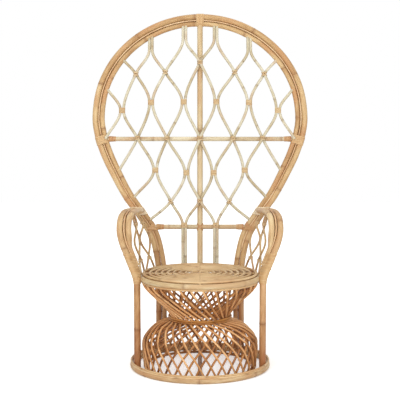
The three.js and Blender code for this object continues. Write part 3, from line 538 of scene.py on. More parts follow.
def choose_finishes() -> dict[Look, RattanFinish | NailFinish]:
    """Return the finish of each look, from pale lattice rods to twisted ones darkened by painted
    shade.
    """
    pole = dict(girth=0.012, internode=0.27, node_depth=1.0, roughness=0.46, coat=0.12,
                contrast=1.15, floor_shade_share=0.6)
    post = dict(pole, internode=0.25, floor_shade_share=0.5, floor_shade_height=0.32)
    plain = dict(pole, floor_shade_share=0.0)
    # Core rods, drawn round by machine: finer grain and hardly a node
    rod = dict(plain, girth=0.0045, node_depth=0.4, coat=0.08)
    streaked = dict(rod, contrast=1.3)
    # Flat cane, the split skin: no nodes, and less contrast
    cane = dict(rod, girth=0.003, node_depth=0.0, contrast=0.8)
    # Each look with its kind, its name, and its pale, mean, dark, scar and blush colours
    rows = (
        # Thick poles: warm satin with rings at the nodes, and painted shade that darkens and
        # reddens them towards the floor
        (Look.POLE, pole, "lacquered_rattan_pole", "#DABD8E #C6A270 #AA7F51 #83502B #C08F60"),
        # Front posts: browner than the other poles and darkest towards the floor, both painted
        # shade
        (Look.POST, post, "front_post_rattan", "#D4A97C #BD9160 #8C5A34 #5E3319 #B27A4E"),
        # Bleached poles: straw yellow and even
        (Look.BACK_BAR, plain, "pale_rattan_pole", "#DBC8A4 #C9AE81 #B08E65 #83502B #C29C70"),
        (Look.CROSSBAR, plain, "crossbar_rattan", "#E2D6B8 #D0C09E #BAA27E #83502B #C6A47C"),
        (Look.BASE, plain, "base_rattan", "#E2CCA6 #CFB288 #AA7F51 #83502B #C08F60"),
        (Look.ARM_POLE, plain, "arm_rattan_pole", "#E4CDA2 #D1B182 #B38A5E #83502B #C49A6E"),
        # Almost white: a pole's pale cut end, with a painted highlight
        (Look.PALE_END, plain, "pale_pole_end", "#F8EEDA #F0DCBC #DCC096 #83502B #E6CCA8"),
        # Painted shade: the stretcher on the floor, dark brown for the seat's shadow on it
        (Look.STRETCHER, plain, "brown_rattan", "#B98758 #8F5F38 #6B4024 #83502B #7C4A2A"),
        # Thin bleached rods: khaki, with faint brown flecks
        (Look.LATTICE, rod, "khaki_rattan_rod", "#DAD2BC #CBC1A4 #B39E78 #8E7046 #C6AE90"),
        # Thin rods in the poles' own honey colour
        (Look.SEAT_ROD, rod, "seat_rattan_rod", "#E0C499 #D3B485 #B69264 #83502B #C69D70"),
        (Look.BASE_HOOP, rod, "pale_rattan_rod", "#E4CAA2 #D4B180 #B68B5C #83502B #C69868"),
        (Look.SIDE_ROD, rod, "arm_rattan_rod", "#DCC59C #C6A575 #9E774A #6B4526 #AC7F55"),
        # Twisted rods with strong streaks: amber outside, and browner within as painted shade on
        # the inner layer
        (Look.OUTER_TWIST, streaked, "amber_rattan_rod", "#F0C48E #DCA46A #AA703E #6E3E1A #CC925C"),
        (Look.INNER_TWIST, streaked, "smoked_rattan_rod",
         "#C88E54 #AB713E #7E4C2A #553018 #986034"),
        (Look.WAIST, rod, "waist_rattan_rod", "#C28A46 #A86E30 #7C4A20 #5E371B #A66C38"),
        # The thin rods in the grooves: pinkish in front, and dark behind as painted shade of the
        # groove
        (Look.FILLER, rod, "pink_rattan_rod", "#E6C69C #D9B387 #C09468 #9A6A42 #CCA278"),
        (Look.GROOVE_SHADE, rod, "shaded_rattan_rod", "#B88A5A #A07248 #7C5430 #5A381E #8C6038"),
        # Flat cane: even and dull, a shade paler than the poles
        (Look.CANE, cane, "flat_cane", "#DBBD94 #CEAA79 #BA8E5D #A06C3E #C99A6A"),
        # Cane from the pale inner layer, almost white, with a painted highlight
        (Look.END_CANE, cane, "arm_end_cane", "#F4E8D0 #E9D7B6 #D2B68C #A06C3E #D3B08A"),
        (Look.TIE, cane, "tie_cane", "#DCC29A #CAAE82 #B48E5E #93683C #C2986C"),
        # Cane with its skin on: redder, and darker as painted shade at the crossbar joints
        (Look.LASHING, cane, "lashing_cane", "#D8B388 #C69B6B #A8784A #85502A #B87E54"))
    finishes = {look: RattanFinish(name, *colours.split(), **kind)
                for look, kind, name, colours in rows}
    return {**finishes, Look.TACK: NailFinish()}


# The rods and the cane as they are bought


@dataclass(frozen=True)
class RodStock:
    """A kind of rod: its girth and how it grew."""

    radius: float
    internode: float = 0.24
    swell: float = 0.05
    roundness: int = 4
    step: float = 0.012
    node_half: float = 0.0035
    node_steps: tuple[float, ...] = (-0.012, -0.006, -0.003, -0.001, 0.001, 0.003, 0.006, 0.012)

    def stations(self, length: float, start: float) -> tuple[np.ndarray, np.ndarray]:
        """Share out the sections along a rod, closer together at its nodes.

        Args:
            length: The rod's length.
            start: Where in an internode it begins, as a share.

        Returns:
            How far along each section is, and its girth as a share of the rod's radius.
        """
        steps = max(2, math.ceil(length / self.step))
        even = np.linspace(0, length, steps + 1)
        if not self.swell:
            return even, np.ones_like(even)
        numbers = np.arange(math.ceil(start), start + length / self.internode)
        nodes = (numbers - start) * self.internode
        near = (nodes[:, None] + np.array(self.node_steps)[None, :]).ravel()
        near = near[(near > 0) & (near < length)]
        places = np.unique(np.round(np.concatenate([even, near]), 4))
        if not len(nodes):
            return places, np.ones_like(places)
        away = np.abs(places[:, None] - nodes[None, :]).min(axis=1)
        return places, 1 + self.swell * np.exp(-((away / self.node_half) ** 2))


@dataclass(frozen=True)
class CaneStock:
    """Flat cane, the split skin of rattan: how wide and thick a strip is."""

    width: float = 0.0062
    thickness: float = 0.0012
    internode: float = 0.24
    slack: float = 0.0002

    @property
    def pitch(self) -> float:
        """How far apart turns lie that only just touch."""
        return self.width + self.slack

    def shifts(self, count: int) -> list[float]:
        """Return how far each of so many turns lies from the middle of them."""
        return [(k - (count - 1) / 2) * self.pitch for k in range(count)]


@dataclass(frozen=True)
class Turn:
    """One turn of cane: an oval about a centre, in the plane of two directions."""

    centre: Vector
    across: Vector
    through: Vector
    stacked: Vector
    half_width: float
    half_depth: float

    def on(self, side: Side) -> Turn:
        """Return the turn as it lies on the given side of the chair."""
        parts = on_side([self.centre, self.across, self.through, self.stacked], side)
        return Turn(*parts, self.half_width, self.half_depth)


def oval(half_width: float, half_depth: float, per_end: int = 9) -> np.ndarray:
    """Return a flat-sided oval in the plane z = 0, longer along x.

    Args:
        half_width: Half its extent along x.
        half_depth: Half its extent along y, and the radius of its ends.
        per_end: How many steps each round end takes.

    Returns:
        Its places, one row each.
    """
    spots = []
    for side in (1, -1):
        shift = side * max(half_width - half_depth, 0.0)
        for k in range(per_end + 1):
            turn = math.pi * (k / per_end - 0.5) + (math.pi if side < 0 else 0)
            x = shift + min(half_width, half_depth) * math.cos(turn)
            spots.append((x, half_depth * math.sin(turn), 0.0))
    return np.array(spots)


class Workshop:
    """Bends rods, winds cane, drives tacks and sets the pieces in the frame."""

    def __init__(self, origin: Vector, finishes: dict[Look, bpy.types.Material]) -> None:
        """Open the workshop.

        Args:
            origin: Where the model has the foot of the seat's axis.
            finishes: The material of each look.
        """
        self.origin = origin
        self.finishes = finishes
        self.chance = random.Random(SEED)
        self.bands: dict[tuple[int, int, int], Piece] = {}

    def set_rod(self, name: str, path: Sequence[Vector], stock: RodStock, look: Look,
                *nodes: str, side: Side = Side.RIGHT, closed: bool = False,
                node_at: float | None = None) -> None:
        """Bend a rod along a path of the right half, and set it in place on its side."""
        rod = self.bend(name, on_side(path, side), stock, closed, node_at)
        self.set_in_place(rod, look, *nodes)

    def set_wrap(self, name: str, turns: Sequence[Turn], cane: CaneStock, look: Look,
                 *nodes: str, side: Side = Side.RIGHT) -> None:
        """Wind turns of the right half in cane, and set them in place on their side."""
        self.set_in_place(self.wind(name, [turn.on(side) for turn in turns], cane), look, *nodes)

    def set_in_place(self, piece: Piece, look: Look, *nodes: str) -> None:
        """Give a piece its finish and its place in the frame.

        Args:
            piece: The finished piece.
            look: What it looks like.
            nodes: The model's nodes that it stands for.
        """
        piece.data.materials.clear()
        piece.data.materials.append(self.finishes[look])
        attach(piece, "root")
        if nodes:
            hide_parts(*nodes)
        log.info("%s: %d faces", piece.name, len(piece.data.polygons))

    def bend(self, name: str, path: Sequence[Vector], stock: RodStock, closed: bool = False,
             node_at: float | None = None) -> Piece:
        """Bend one rod along a path.

        Args:
            name: The new object's name.
            path: Places along the rod's axis, about the seat's axis.
            stock: The kind of rod.
            closed: Whether the rod's ends meet.
            node_at: How far along it has a node, or None to leave that to chance.

        Returns:
            The rod as a mesh, with its grain map.
        """
        places = np.array([tuple(place + self.origin) for place in path])
        if closed:
            places = np.vstack([places, places[:1]])
        travelled = lengths_along(places)
        start = self.chance.random() if node_at is None else 1 - (node_at / stock.internode) % 1
        stations, girths = stock.stations(float(travelled[-1]), start)
        spots = np.stack([np.interp(stations, travelled, row) for row in places.T], axis=1)
        count = len(stations) - closed
        curve = self._new_curve(name, spots[:count], girths[:count], closed)
        curve.bevel_depth = stock.radius
        curve.bevel_resolution = stock.roundness
        curve.use_fill_caps = True
        rod = self._as_mesh(name)
        start += self.chance.randrange(GRAIN_TURNS)
        self._lay_grain(rod.data, stations, start, stock.internode)
        return rod

    def _new_curve(self, name: str, spots: np.ndarray, girths: np.ndarray, closed: bool,
                   dimensions: str = "3D") -> bpy.types.Curve:
        """Add a curve object with one straight-stepped spline.

        Args:
            name: The object's name.
            spots: The spline's places, one row each.
            girths: The share of the bevel that each place has.
            closed: Whether the spline's ends meet.
            dimensions: 3D, or 2D for a flat curve.

        Returns:
            The object's curve.
        """
        bpy.ops.object.select_all(action="DESELECT")
        bpy.ops.curve.primitive_nurbs_path_add(location=(0, 0, 0))
        curve = bpy.context.object.data
        bpy.context.object.name = name
        curve.dimensions = dimensions
        curve.splines.clear()
        spline = curve.splines.new("POLY")
        spline.points.add(len(spots) - 1)
        spline.points.foreach_set("co", np.column_stack([spots, np.ones(len(spots))]).ravel())
        spline.points.foreach_set("radius", girths)
        spline.use_cyclic_u = closed
        return curve

    def _as_mesh(self, name: str) -> Piece:
        """Turn the active curve into a closed, smoothly shaded mesh.

        Args:
            name: The mesh object's name.

        Returns:
            The object.
        """
        bpy.ops.object.convert(target="MESH")
        piece = bpy.context.object
        piece.name = name
        bpy.ops.object.mode_set(mode="EDIT")
        bpy.ops.mesh.select_all(action="SELECT")
        bpy.ops.mesh.remove_doubles(threshold=WELD_DISTANCE)
        bpy.ops.object.mode_set(mode="OBJECT")
        bpy.ops.object.shade_smooth_by_angle(angle=SMOOTH_ANGLE)
        return piece

    def _lay_grain(self, mesh: bpy.types.Mesh, stations: np.ndarray, start: float,
                   internode: float) -> None:
        """Turn the sweep's own map into one along the rod in internodes and once round it.

        Args:
            mesh: The rod's mesh.
            stations: How far along the rod each section is.
            start: The count of internodes at the rod's start.
            internode: An internode's length.
        """
        grain = mesh.uv_layers[0]
        grain.name = GRAIN_MAP
        spots = np.empty(len(grain.data) * 2, dtype=np.float32)
        grain.data.foreach_get("uv", spots)
        spots = spots.reshape(-1, 2)
        numbers = spots[:, 0] * (len(stations) - 1)
        lengths = np.interp(numbers, np.arange(len(stations)), stations)
        spots[:, 0] = start + lengths / internode
        grain.data.foreach_set("uv", spots.ravel())

    def copy(self, piece: Piece, placing: Matrix, shift_grain: bool = True) -> Piece:
        """Copy a piece with a mesh of its own, and move the mesh.

        Args:
            piece: The piece.
            placing: How the copy's mesh is moved.
            shift_grain: Whether the copy gets other grain.

        Returns:
            The copy.
        """
        other = piece.copy()
        other.data = piece.data.copy()
        other.data.transform(placing)
        bpy.context.scene.collection.objects.link(other)
        if shift_grain:
            grain = other.data.uv_layers[0].data
            spots = np.empty(len(grain) * 2, dtype=np.float32)
            grain.foreach_get("uv", spots)
            spots[0::2] += self.chance.randrange(1, COPY_TURNS)
            grain.foreach_set("uv", spots)
        return other

    def join(self, name: str, pieces: Sequence[Piece]) -> Piece:
        """Join pieces into one.

        Args:
            name: The whole's name.
            pieces: The pieces, two at least.

        Returns:
            The whole.
        """
        bpy.ops.object.select_all(action="DESELECT")
        for piece in pieces:
            piece.select_set(True)
        bpy.context.view_layer.objects.active = pieces[0]
        bpy.ops.object.join()
        pieces[0].name = name
        return pieces[0]

    def wind(self, name: str, turns: Sequence[Turn], cane: CaneStock) -> Piece:
        """Wind flat cane in separate turns.

        Args:
            name: The new object's name.
            turns: The turns in order.
            cane: The kind of cane.

        Returns:
            All the turns as one mesh.
        """
        made = []
        for turn in turns:
            band = self._band(turn.half_width, turn.half_depth, cane)
            columns = [turn.across, turn.through, turn.stacked, turn.centre + self.origin]
            rows = [[column[row] for column in columns] for row in range(3)]
            placing = Matrix([*rows, [0, 0, 0, 1]])
            made.append(self.copy(band, placing))
            if placing.determinant() < 0:
                made[-1].data.flip_normals()
        return self.join(name, made)

    def _band(self, half_width: float, half_depth: float, cane: CaneStock) -> Piece:
        """Return a flat turn of cane about the origin, made once for each size.

        Args:
            half_width: Half the width that it goes round.
            half_depth: Half the depth that it goes round.
            cane: The kind of cane.

        Returns:
            The turn, which is only there to be copied.
        """
        key = tuple(round(size * KEY_STEPS) for size in (half_width, half_depth, cane.width))
        if key not in self.bands:
            half = cane.thickness / 2
            spots = oval(half_width + half, half_depth + half)
            curve = self._new_curve("cane_turn", spots, np.ones(len(spots)), True, "2D")
            curve.fill_mode = "NONE"
            curve.bevel_depth = half
            curve.bevel_resolution = 2
            curve.extrude = cane.width / 2 - half
            band = self._as_mesh("cane_turn")
            travelled = lengths_along(np.vstack([spots, spots[:1]]))
            self._lay_grain(band.data, travelled, self.chance.random(), cane.internode)
            self.bands[key] = band
        return self.bands[key]

    def set_tacks(self, name: str, heads: Sequence[tuple[Vector, Vector]],
                  radius: float = 0.0022) -> None:
        """Drive tacks with low round heads and set them in place.

        Args:
            name: The new piece's name.
            heads: The place and the outward direction of each head.
            radius: A head's radius.
        """
        sunk, flattened = 0.35, 0.6
        bpy.ops.object.select_all(action="DESELECT")
        bpy.ops.mesh.primitive_uv_sphere_add(segments=12, ring_count=8, radius=radius,
                                             location=(0, 0, 0))
        head = bpy.context.object
        bpy.ops.object.mode_set(mode="EDIT")
        bpy.ops.mesh.select_all(action="SELECT")
        bpy.ops.mesh.bisect(plane_co=(0, 0, -radius * sunk), plane_no=(0, 0, 1), use_fill=True,
                            clear_inner=True)
        bpy.ops.mesh.select_all(action="SELECT")
        bpy.ops.transform.resize(value=(1, 1, flattened))
        bpy.ops.object.mode_set(mode="OBJECT")
        bpy.ops.object.shade_smooth_by_angle(angle=SMOOTH_ANGLE)
        made = []
        for place, outward in heads:
            turn = outward.to_track_quat("Z", "Y").to_matrix().to_4x4()
            made.append(self.copy(head, Matrix.Translation(place + self.origin) @ turn, False))
        bpy.data.objects.remove(head, do_unlink=True)
        self.set_in_place(self.join(name, made), Look.TACK)

    def clear_bench(self) -> None:
        """Take away the turns that were only there to be copied."""
        for band in self.bands.values():
            bpy.data.objects.remove(band, do_unlink=True)
        self.bands.clear()


# The chair


@dataclass(frozen=True)
class Datum:
    """Heights and planes that the model fixes and every sub-assembly shares."""

    chair_height: float = 1.5
    back_tilt: float = math.radians(4.5)
    gap: float = 0.0003
    seat_ring_edge: float = 0.254
    rail_radius: float = 0.010
    cane_thickness: float = 0.003

    @property
    def seat_centre(self) -> Vector:
        """The foot of the seat's axis in the model."""
        low, high = (Vector(corner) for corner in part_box("seat_ring"))
        return Vector(((low.x + high.x) / 2, (low.y + high.y) / 2, 0))

    @property
    def ring_height(self) -> float:
        """The height of the seat ring's axis."""
        low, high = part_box("seat_ring")
        return (low[2] + high[2]) / 2

    @property
    def crown_height(self) -> float:
        """The top of the hoop, under its cane."""
        return self.chair_height - self.cane_thickness - self.gap

    @property
    def back_foot(self) -> float:
        """How far back the plane of the back meets the floor."""
        depth = self.seat_ring_edge + self.gap + self.rail_radius
        return depth - self.ring_height * math.tan(self.back_tilt)

    @property
    def forward(self) -> Vector:
        """The way out of the back's front."""
        return Vector((0, -math.cos(self.back_tilt), math.sin(self.back_tilt)))

    @property
    def upward(self) -> Vector:
        """The way up in the plane of the back."""
        return Vector((0, math.sin(self.back_tilt), math.cos(self.back_tilt)))

    def on_back(self, x: float, height: float, forward: float = 0.0) -> Vector:
        """Return the place at a width and a height on the back, and so far ahead of it."""
        depth = self.back_foot + height * math.tan(self.back_tilt)
        return Vector((x, depth, height)) + self.forward * forward


@dataclass(frozen=True)
class BundleSection:
    """A cut across the hoop: its middle, two directions, and half its size."""

    centre: Vector
    outward: Vector
    along: Vector
    half_width: float
    half_depth: float


@dataclass
class Hoop:
    """The hoop of the back: two poles side by side, and two thinner rods in their groove, the one
    behind dark as painted shade.
    """

    datum: Datum
    half_width: float = 0.477
    widest_height: float = 1.045
    outer_radius: float = 0.013
    inner_radius: float = 0.011
    filler_radius: float = 0.0031
    filler_forward: float = 0.0075
    groove_shade_radius: float = 0.0046
    spread: float = 0.0065
    opening_shares: tuple[float, float] = (0.42, 0.6)
    leg_share: float = 0.41
    filler_share: float = 0.12
    direction_reach: float = 0.002
    crown_steps: int = 5
    pole_steps: int = 420
    shank_shares: tuple[tuple[float, float], ...] = (
        (0.979, 0.919), (0.922, 0.837), (0.838, 0.756), (0.713, 0.653), (0.589, 0.574),
        (0.482, 0.498), (0.434, 0.421), (0.412, 0.345), (0.41, 0.17))
    line: np.ndarray = field(init=False)
    shares: np.ndarray = field(init=False)

    def __post_init__(self) -> None:
        """Draw the outline from the left foot to the right one."""
        crown = self.datum.crown_height
        right = []
        for k in range(1, self.crown_steps + 1):
            turn = math.pi / 2 * (1 - k / self.crown_steps)
            rise = (crown - self.widest_height) * math.sin(turn)
            right.append((self.half_width * math.cos(turn), self.widest_height + rise))
        right += [(self.half_width * out, self.widest_height * up)
                  for out, up in self.shank_shares]
        right.append((self.half_width * self.leg_share, 0.0))
        left = [(-x, height) for x, height in reversed(right)]
        points = [self.datum.on_back(x, height) for x, height in [*left, (0, crown), *right]]
        self.line = np.array([tuple(place) for place in smooth_line(points)])
        travelled = lengths_along(self.line)
        self.shares = travelled / travelled[-1]

    def edge(self, share: float) -> Vector:
        """Return the place at a share of the outline's length."""
        return Vector([float(np.interp(share, self.shares, row)) for row in self.line.T])

    def along(self, share: float) -> Vector:
        """Return the outline's direction at a share of its length."""
        ends = max(share - self.direction_reach, 0), min(share + self.direction_reach, 1)
        return (self.edge(ends[1]) - self.edge(ends[0])).normalized()

    def outward(self, share: float) -> Vector:
        """Return the way out of the outline at a share of its length."""
        return self.datum.forward.cross(self.along(share)).normalized()

    def spacing(self, height: float) -> float:
        """Return how far apart the two poles' axes are at a height."""
        opened = smoothstep(height, *(self.datum.chair_height * s for s in self.opening_shares))
        return self.outer_radius + self.datum.gap + self.spread * opened + self.inner_radius

    def beside(self, share: float, inset: float, forward: float = 0.0) -> Vector:
        """Return the place inside the outline and ahead of its plane."""
        inside = self.edge(share) - self.outward(share) * inset
        return inside + self.datum.forward * forward

    def inner_place(self, share: float) -> Vector:
        """Return the inner pole's axis at a share of the outline's length."""
        return self.beside(share, self.outer_radius + self.spacing(self.edge(share).z))

    def in_groove(self, share: float, radius: float) -> tuple[float, float]:
        """Find where a rod touches both poles.

        Args:
            share: The share of the outline's length.
            radius: The rod's radius.

        Returns:
            How far inside the outline its axis is, and how far out of the poles' plane.
        """
        spacing = self.spacing(self.edge(share).z)
        to_outer = self.outer_radius + radius
        to_inner = self.inner_radius + radius
        across = (spacing ** 2 + to_outer ** 2 - to_inner ** 2) / (2 * spacing)
        return self.outer_radius + across, math.sqrt(max(to_outer ** 2 - across ** 2, 0.0))

    def filler_place(self, share: float) -> Vector:
        """Return the filler's axis, in the groove's mouth or ahead of it if that is narrow."""
        inset, touching = self.in_groove(share, self.filler_radius)
        return self.beside(share, inset, max(touching, self.filler_forward))

    def groove_shade_place(self, share: float) -> Vector:
        """Return the axis of the thicker rod that closes the groove from behind, dark as painted
        shade.
        """
        inset, touching = self.in_groove(share, self.groove_shade_radius)
        return self.beside(share, inset, -touching)

    def share_where(self, is_past: Callable[[Vector], bool], halvings: int = 30) -> float:
        """Find where the right half's inner pole passes something.

        Args:
            is_past: Tells whether a place lies beyond it, from the crown down.
            halvings: How often the stretch is halved.

        Returns:
            The share of the outline's length.
        """
        above, below = 0.5, 1.0
        for _ in range(halvings):
            middle = (above + below) / 2
            if is_past(self.inner_place(middle)):
                below = middle
            else:
                above = middle
        return above

    def share_at_height(self, height: float) -> float:
        """Return the share at which the right half's inner pole is at a height."""
        return self.share_where(lambda place: place.z < height)

    def inner_at_height(self, height: float) -> Vector:
        """Return the right half's inner pole at a height."""
        return self.inner_place(self.share_at_height(height))

    def inner_at_width(self, width: float) -> Vector:
        """Return the upper part of the inner pole at a distance from the middle."""
        return self.inner_place(self.share_where(lambda place: place.x > width))

    def section(self, share: float) -> BundleSection:
        """Cut the hoop across.

        Args:
            share: Where, as a share of its length.

        Returns:
            The cut, deep enough for the filler.
        """
        half = (self.outer_radius + self.spacing(self.edge(share).z) + self.inner_radius) / 2
        ahead = (self.filler_place(share) - self.edge(share)).dot(self.datum.forward)
        return BundleSection(self.beside(share, half), self.outward(share), self.along(share),
                             half, max(self.outer_radius, ahead + self.filler_radius))

    def make(self, shop: Workshop) -> None:
        """Bend the two poles, the filler and the dark rod behind it, which is painted shade.

        Args:
            shop: The workshop.
        """
        shares = np.linspace(0, 1, self.pole_steps)
        inside = [s for s in shares if self.filler_share < s < 1 - self.filler_share]
        shop.set_rod(
            "hoop_outer_rattan", [self.beside(share, self.outer_radius) for share in shares],
            RodStock(self.outer_radius, internode=0.27, swell=0.045, roundness=6), Look.POLE,
            "hoop_outer_pole")
        shop.set_rod(
            "hoop_inner_rattan", [self.inner_place(share) for share in shares],
            RodStock(self.inner_radius, internode=0.23, roundness=5), Look.POLE,
            "hoop_inner_pole")
        filler = RodStock(self.filler_radius, internode=0.3, swell=0.02, roundness=2)
        shop.set_rod("hoop_filler_rattan", [self.filler_place(share) for share in inside],
                     filler, Look.FILLER, "hoop_filler")
        # Painted shade: a dark rod behind the filler stands for the groove's shadow
        shop.set_rod("hoop_backing_rattan", [self.groove_shade_place(share) for share in inside],
                     replace(filler, radius=self.groove_shade_radius), Look.GROOVE_SHADE)


@dataclass(frozen=True)
class Crossbar:
    """A crossbar of the back, and the wrap of plain or crossed turns at its ends."""

    word: str
    height: float
    radius: float
    internode: float
    wrap_length: float
    is_crossed: bool


@dataclass
class BackFrame:
    """The centre post, the two crossbars, the seat's back rail, and the cane at their joints."""

    datum: Datum
    hoop: Hoop
    post_radius: float = 0.0124
    upper: Crossbar = Crossbar("upper", 0.946, 0.0098, 0.22, 0.037, False)
    lower: Crossbar = Crossbar("lower", 0.557, 0.0104, 0.2, 0.032, True)
    top_wrap_length: float = 0.034
    tip_wrap_length: float = 0.03
    tip_growth: float = 0.0004
    cross_lean: float = 0.5
    post_lean: float = 0.75
    post_pitch_share: float = 1.1
    cane: CaneStock = field(default_factory=CaneStock)

    def stack(self, section: BundleSection, length: float, lean: float = 0.0) -> list[Turn]:
        """Lay turns of cane side by side round the hoop.

        Args:
            section: The cut across the hoop at the middle of the wrap.
            length: How much of the hoop the turns cover.
            lean: How far each turn climbs along the hoop for each unit across it.

        Returns:
            The turns in order.
        """
        return [Turn(section.centre + section.along * shift,
                     section.outward + section.along * lean, self.datum.forward, section.along,
                     section.half_width + self.datum.gap, section.half_depth + self.datum.gap)
                for shift in self.cane.shifts(round(length / self.cane.pitch))]

    def raised(self, turn: Turn) -> Turn:
        """Return a turn that passes over another one, a cane's thickness further out."""
        return replace(turn, half_width=turn.half_width + self.cane.thickness,
                       half_depth=turn.half_depth + self.cane.thickness)

    def end_wrap(self, bar: Crossbar, section: BundleSection) -> list[Turn]:
        """Wind the hoop where a crossbar meets it.

        Args:
            bar: The crossbar.
            section: The cut across the hoop there.

        Returns:
            Plain turns, or two crossed stacks, the second over the first.
        """
        if not bar.is_crossed:
            return self.stack(section, bar.wrap_length)
        below, above = (self.stack(section, bar.wrap_length / 2, lean)
                        for lean in (self.cross_lean, -self.cross_lean))
        return [*below, *(self.raised(turn) for turn in above)]

    def tip_turns(self, bar: Crossbar, start_x: float) -> list[Turn]:
        """Wind the end of a crossbar, thicker towards the hoop.

        Args:
            bar: The crossbar.
            start_x: Where the thickest turn lies.

        Returns:
            The turns in order.
        """
        count = round(self.tip_wrap_length / self.cane.pitch)
        turns = []
        for k in range(count):
            grown = bar.radius + self.datum.gap + self.tip_growth * (count - 1 - k)
            place = self.datum.on_back(start_x - k * self.cane.pitch, bar.height)
            turns.append(
                Turn(place, self.datum.upward, self.datum.forward, -ACROSS, grown, grown))
        return turns

    def make(self, shop: Workshop) -> None:
        """Build the frame of the back.

        Args:
            shop: The workshop.
        """
        foot = self.datum.on_back(0, self.datum.ring_height)
        head = self.datum.on_back(0, self.datum.crown_height - self.hoop.outer_radius)
        shop.set_rod("centre_post_rattan", [foot, head],
                     RodStock(self.post_radius, internode=0.31, roundness=5), Look.BACK_BAR,
                     "centre_post")
        end = self.hoop.inner_at_height(self.datum.ring_height)
        shop.set_rod("back_rail_rattan", [*on_side([end], Side.LEFT), end],
                     RodStock(self.datum.rail_radius, internode=0.25), Look.BACK_BAR,
                     "seat_back_rail")
        shop.set_wrap("hoop_top_cane", self.stack(self.hoop.section(0.5), self.top_wrap_length),
                      self.cane, Look.CANE, "hoop_top_wrap")
        for side in Side:
            for bar in (self.upper, self.lower):
                self.make_joint(shop, bar, side)
        for bar in (self.lower, self.upper):
            self.lash_post(shop, bar)

    def make_joint(self, shop: Workshop, bar: Crossbar, side: Side) -> None:
        """Build one half of a crossbar, its wrap on the hoop and the wrap at its tip.

        Args:
            shop: The workshop.
            bar: The crossbar.
            side: The half.
        """
        share = self.hoop.share_at_height(bar.height)
        end = self.hoop.inner_place(share)
        path = [self.datum.on_back(x, bar.height) for x in (0, end.x)]
        shop.set_rod(f"{bar.word}_bar_rattan_{side.word}", path,
                     RodStock(bar.radius, internode=bar.internode), Look.CROSSBAR,
                     f"{bar.word}_crossbar_{side.word}", side=side)
        shop.set_wrap(f"{bar.word}_bar_cane_{side.word}",
                      self.end_wrap(bar, self.hoop.section(share)), self.cane,
                      Look.LASHING if bar.is_crossed else Look.CANE,
                      f"{bar.word}_crossbar_wrap_{side.word}", side=side)
        start_x = end.x - self.hoop.inner_radius - self.cane.width
        shop.set_wrap(f"{bar.word}_bar_tip_cane_{side.word}", self.tip_turns(bar, start_x),
                      self.cane, Look.LASHING, side=side)

    def lash_post(self, shop: Workshop, bar: Crossbar) -> None:
        """Bind a crossbar's middle to the centre post with crossed turns of cane.

        Args:
            shop: The workshop.
            bar: The crossbar.
        """
        turns = []
        middle = self.datum.on_back(0, bar.height)
        for lean, width, depth in ((-self.post_lean, 0.001, 0.0006),
                                   (self.post_lean, 0.0014, 0.0018)):
            for shift in (-0.5, 0.5):
                centre = (middle
                          + self.datum.upward * shift * self.cane.pitch * self.post_pitch_share)
                turns.append(Turn(centre, ACROSS + self.datum.upward * lean, self.datum.forward,
                                  self.datum.upward, self.post_radius + width,
                                  self.post_radius + depth))
        shop.set_wrap(f"{bar.word}_bar_lashing", turns, self.cane, Look.LASHING)


# Where the lattice rods cross (high, mid, low), touch (kiss) or run side by side (pair), as
# shares of the hoop's half width and of the chair's height
KNOT_SHARES: dict[str, tuple[float, float]] = {
    "pair_outer": (0.455, 0.889), "pair_inner": (0.144, 0.921), "centre_high": (0, 0.854),
    "inner_high": (0.321, 0.825), "outer_high": (0.593, 0.82), "kiss_centre": (0.151, 0.7385),
    "kiss_side": (0.453, 0.7365), "kiss_edge": (0.721, 0.7135), "centre_mid": (0, 0.6315),
    "inner_mid": (0.305, 0.6315), "outer_mid": (0.579, 0.6325), "kiss_low": (0.126, 0.5305),
    "kiss_flank": (0.414, 0.5385), "centre_low": (0, 0.449), "inner_low": (0.27, 0.4465),
    "kiss_bar": (0.147, 0.3765)}


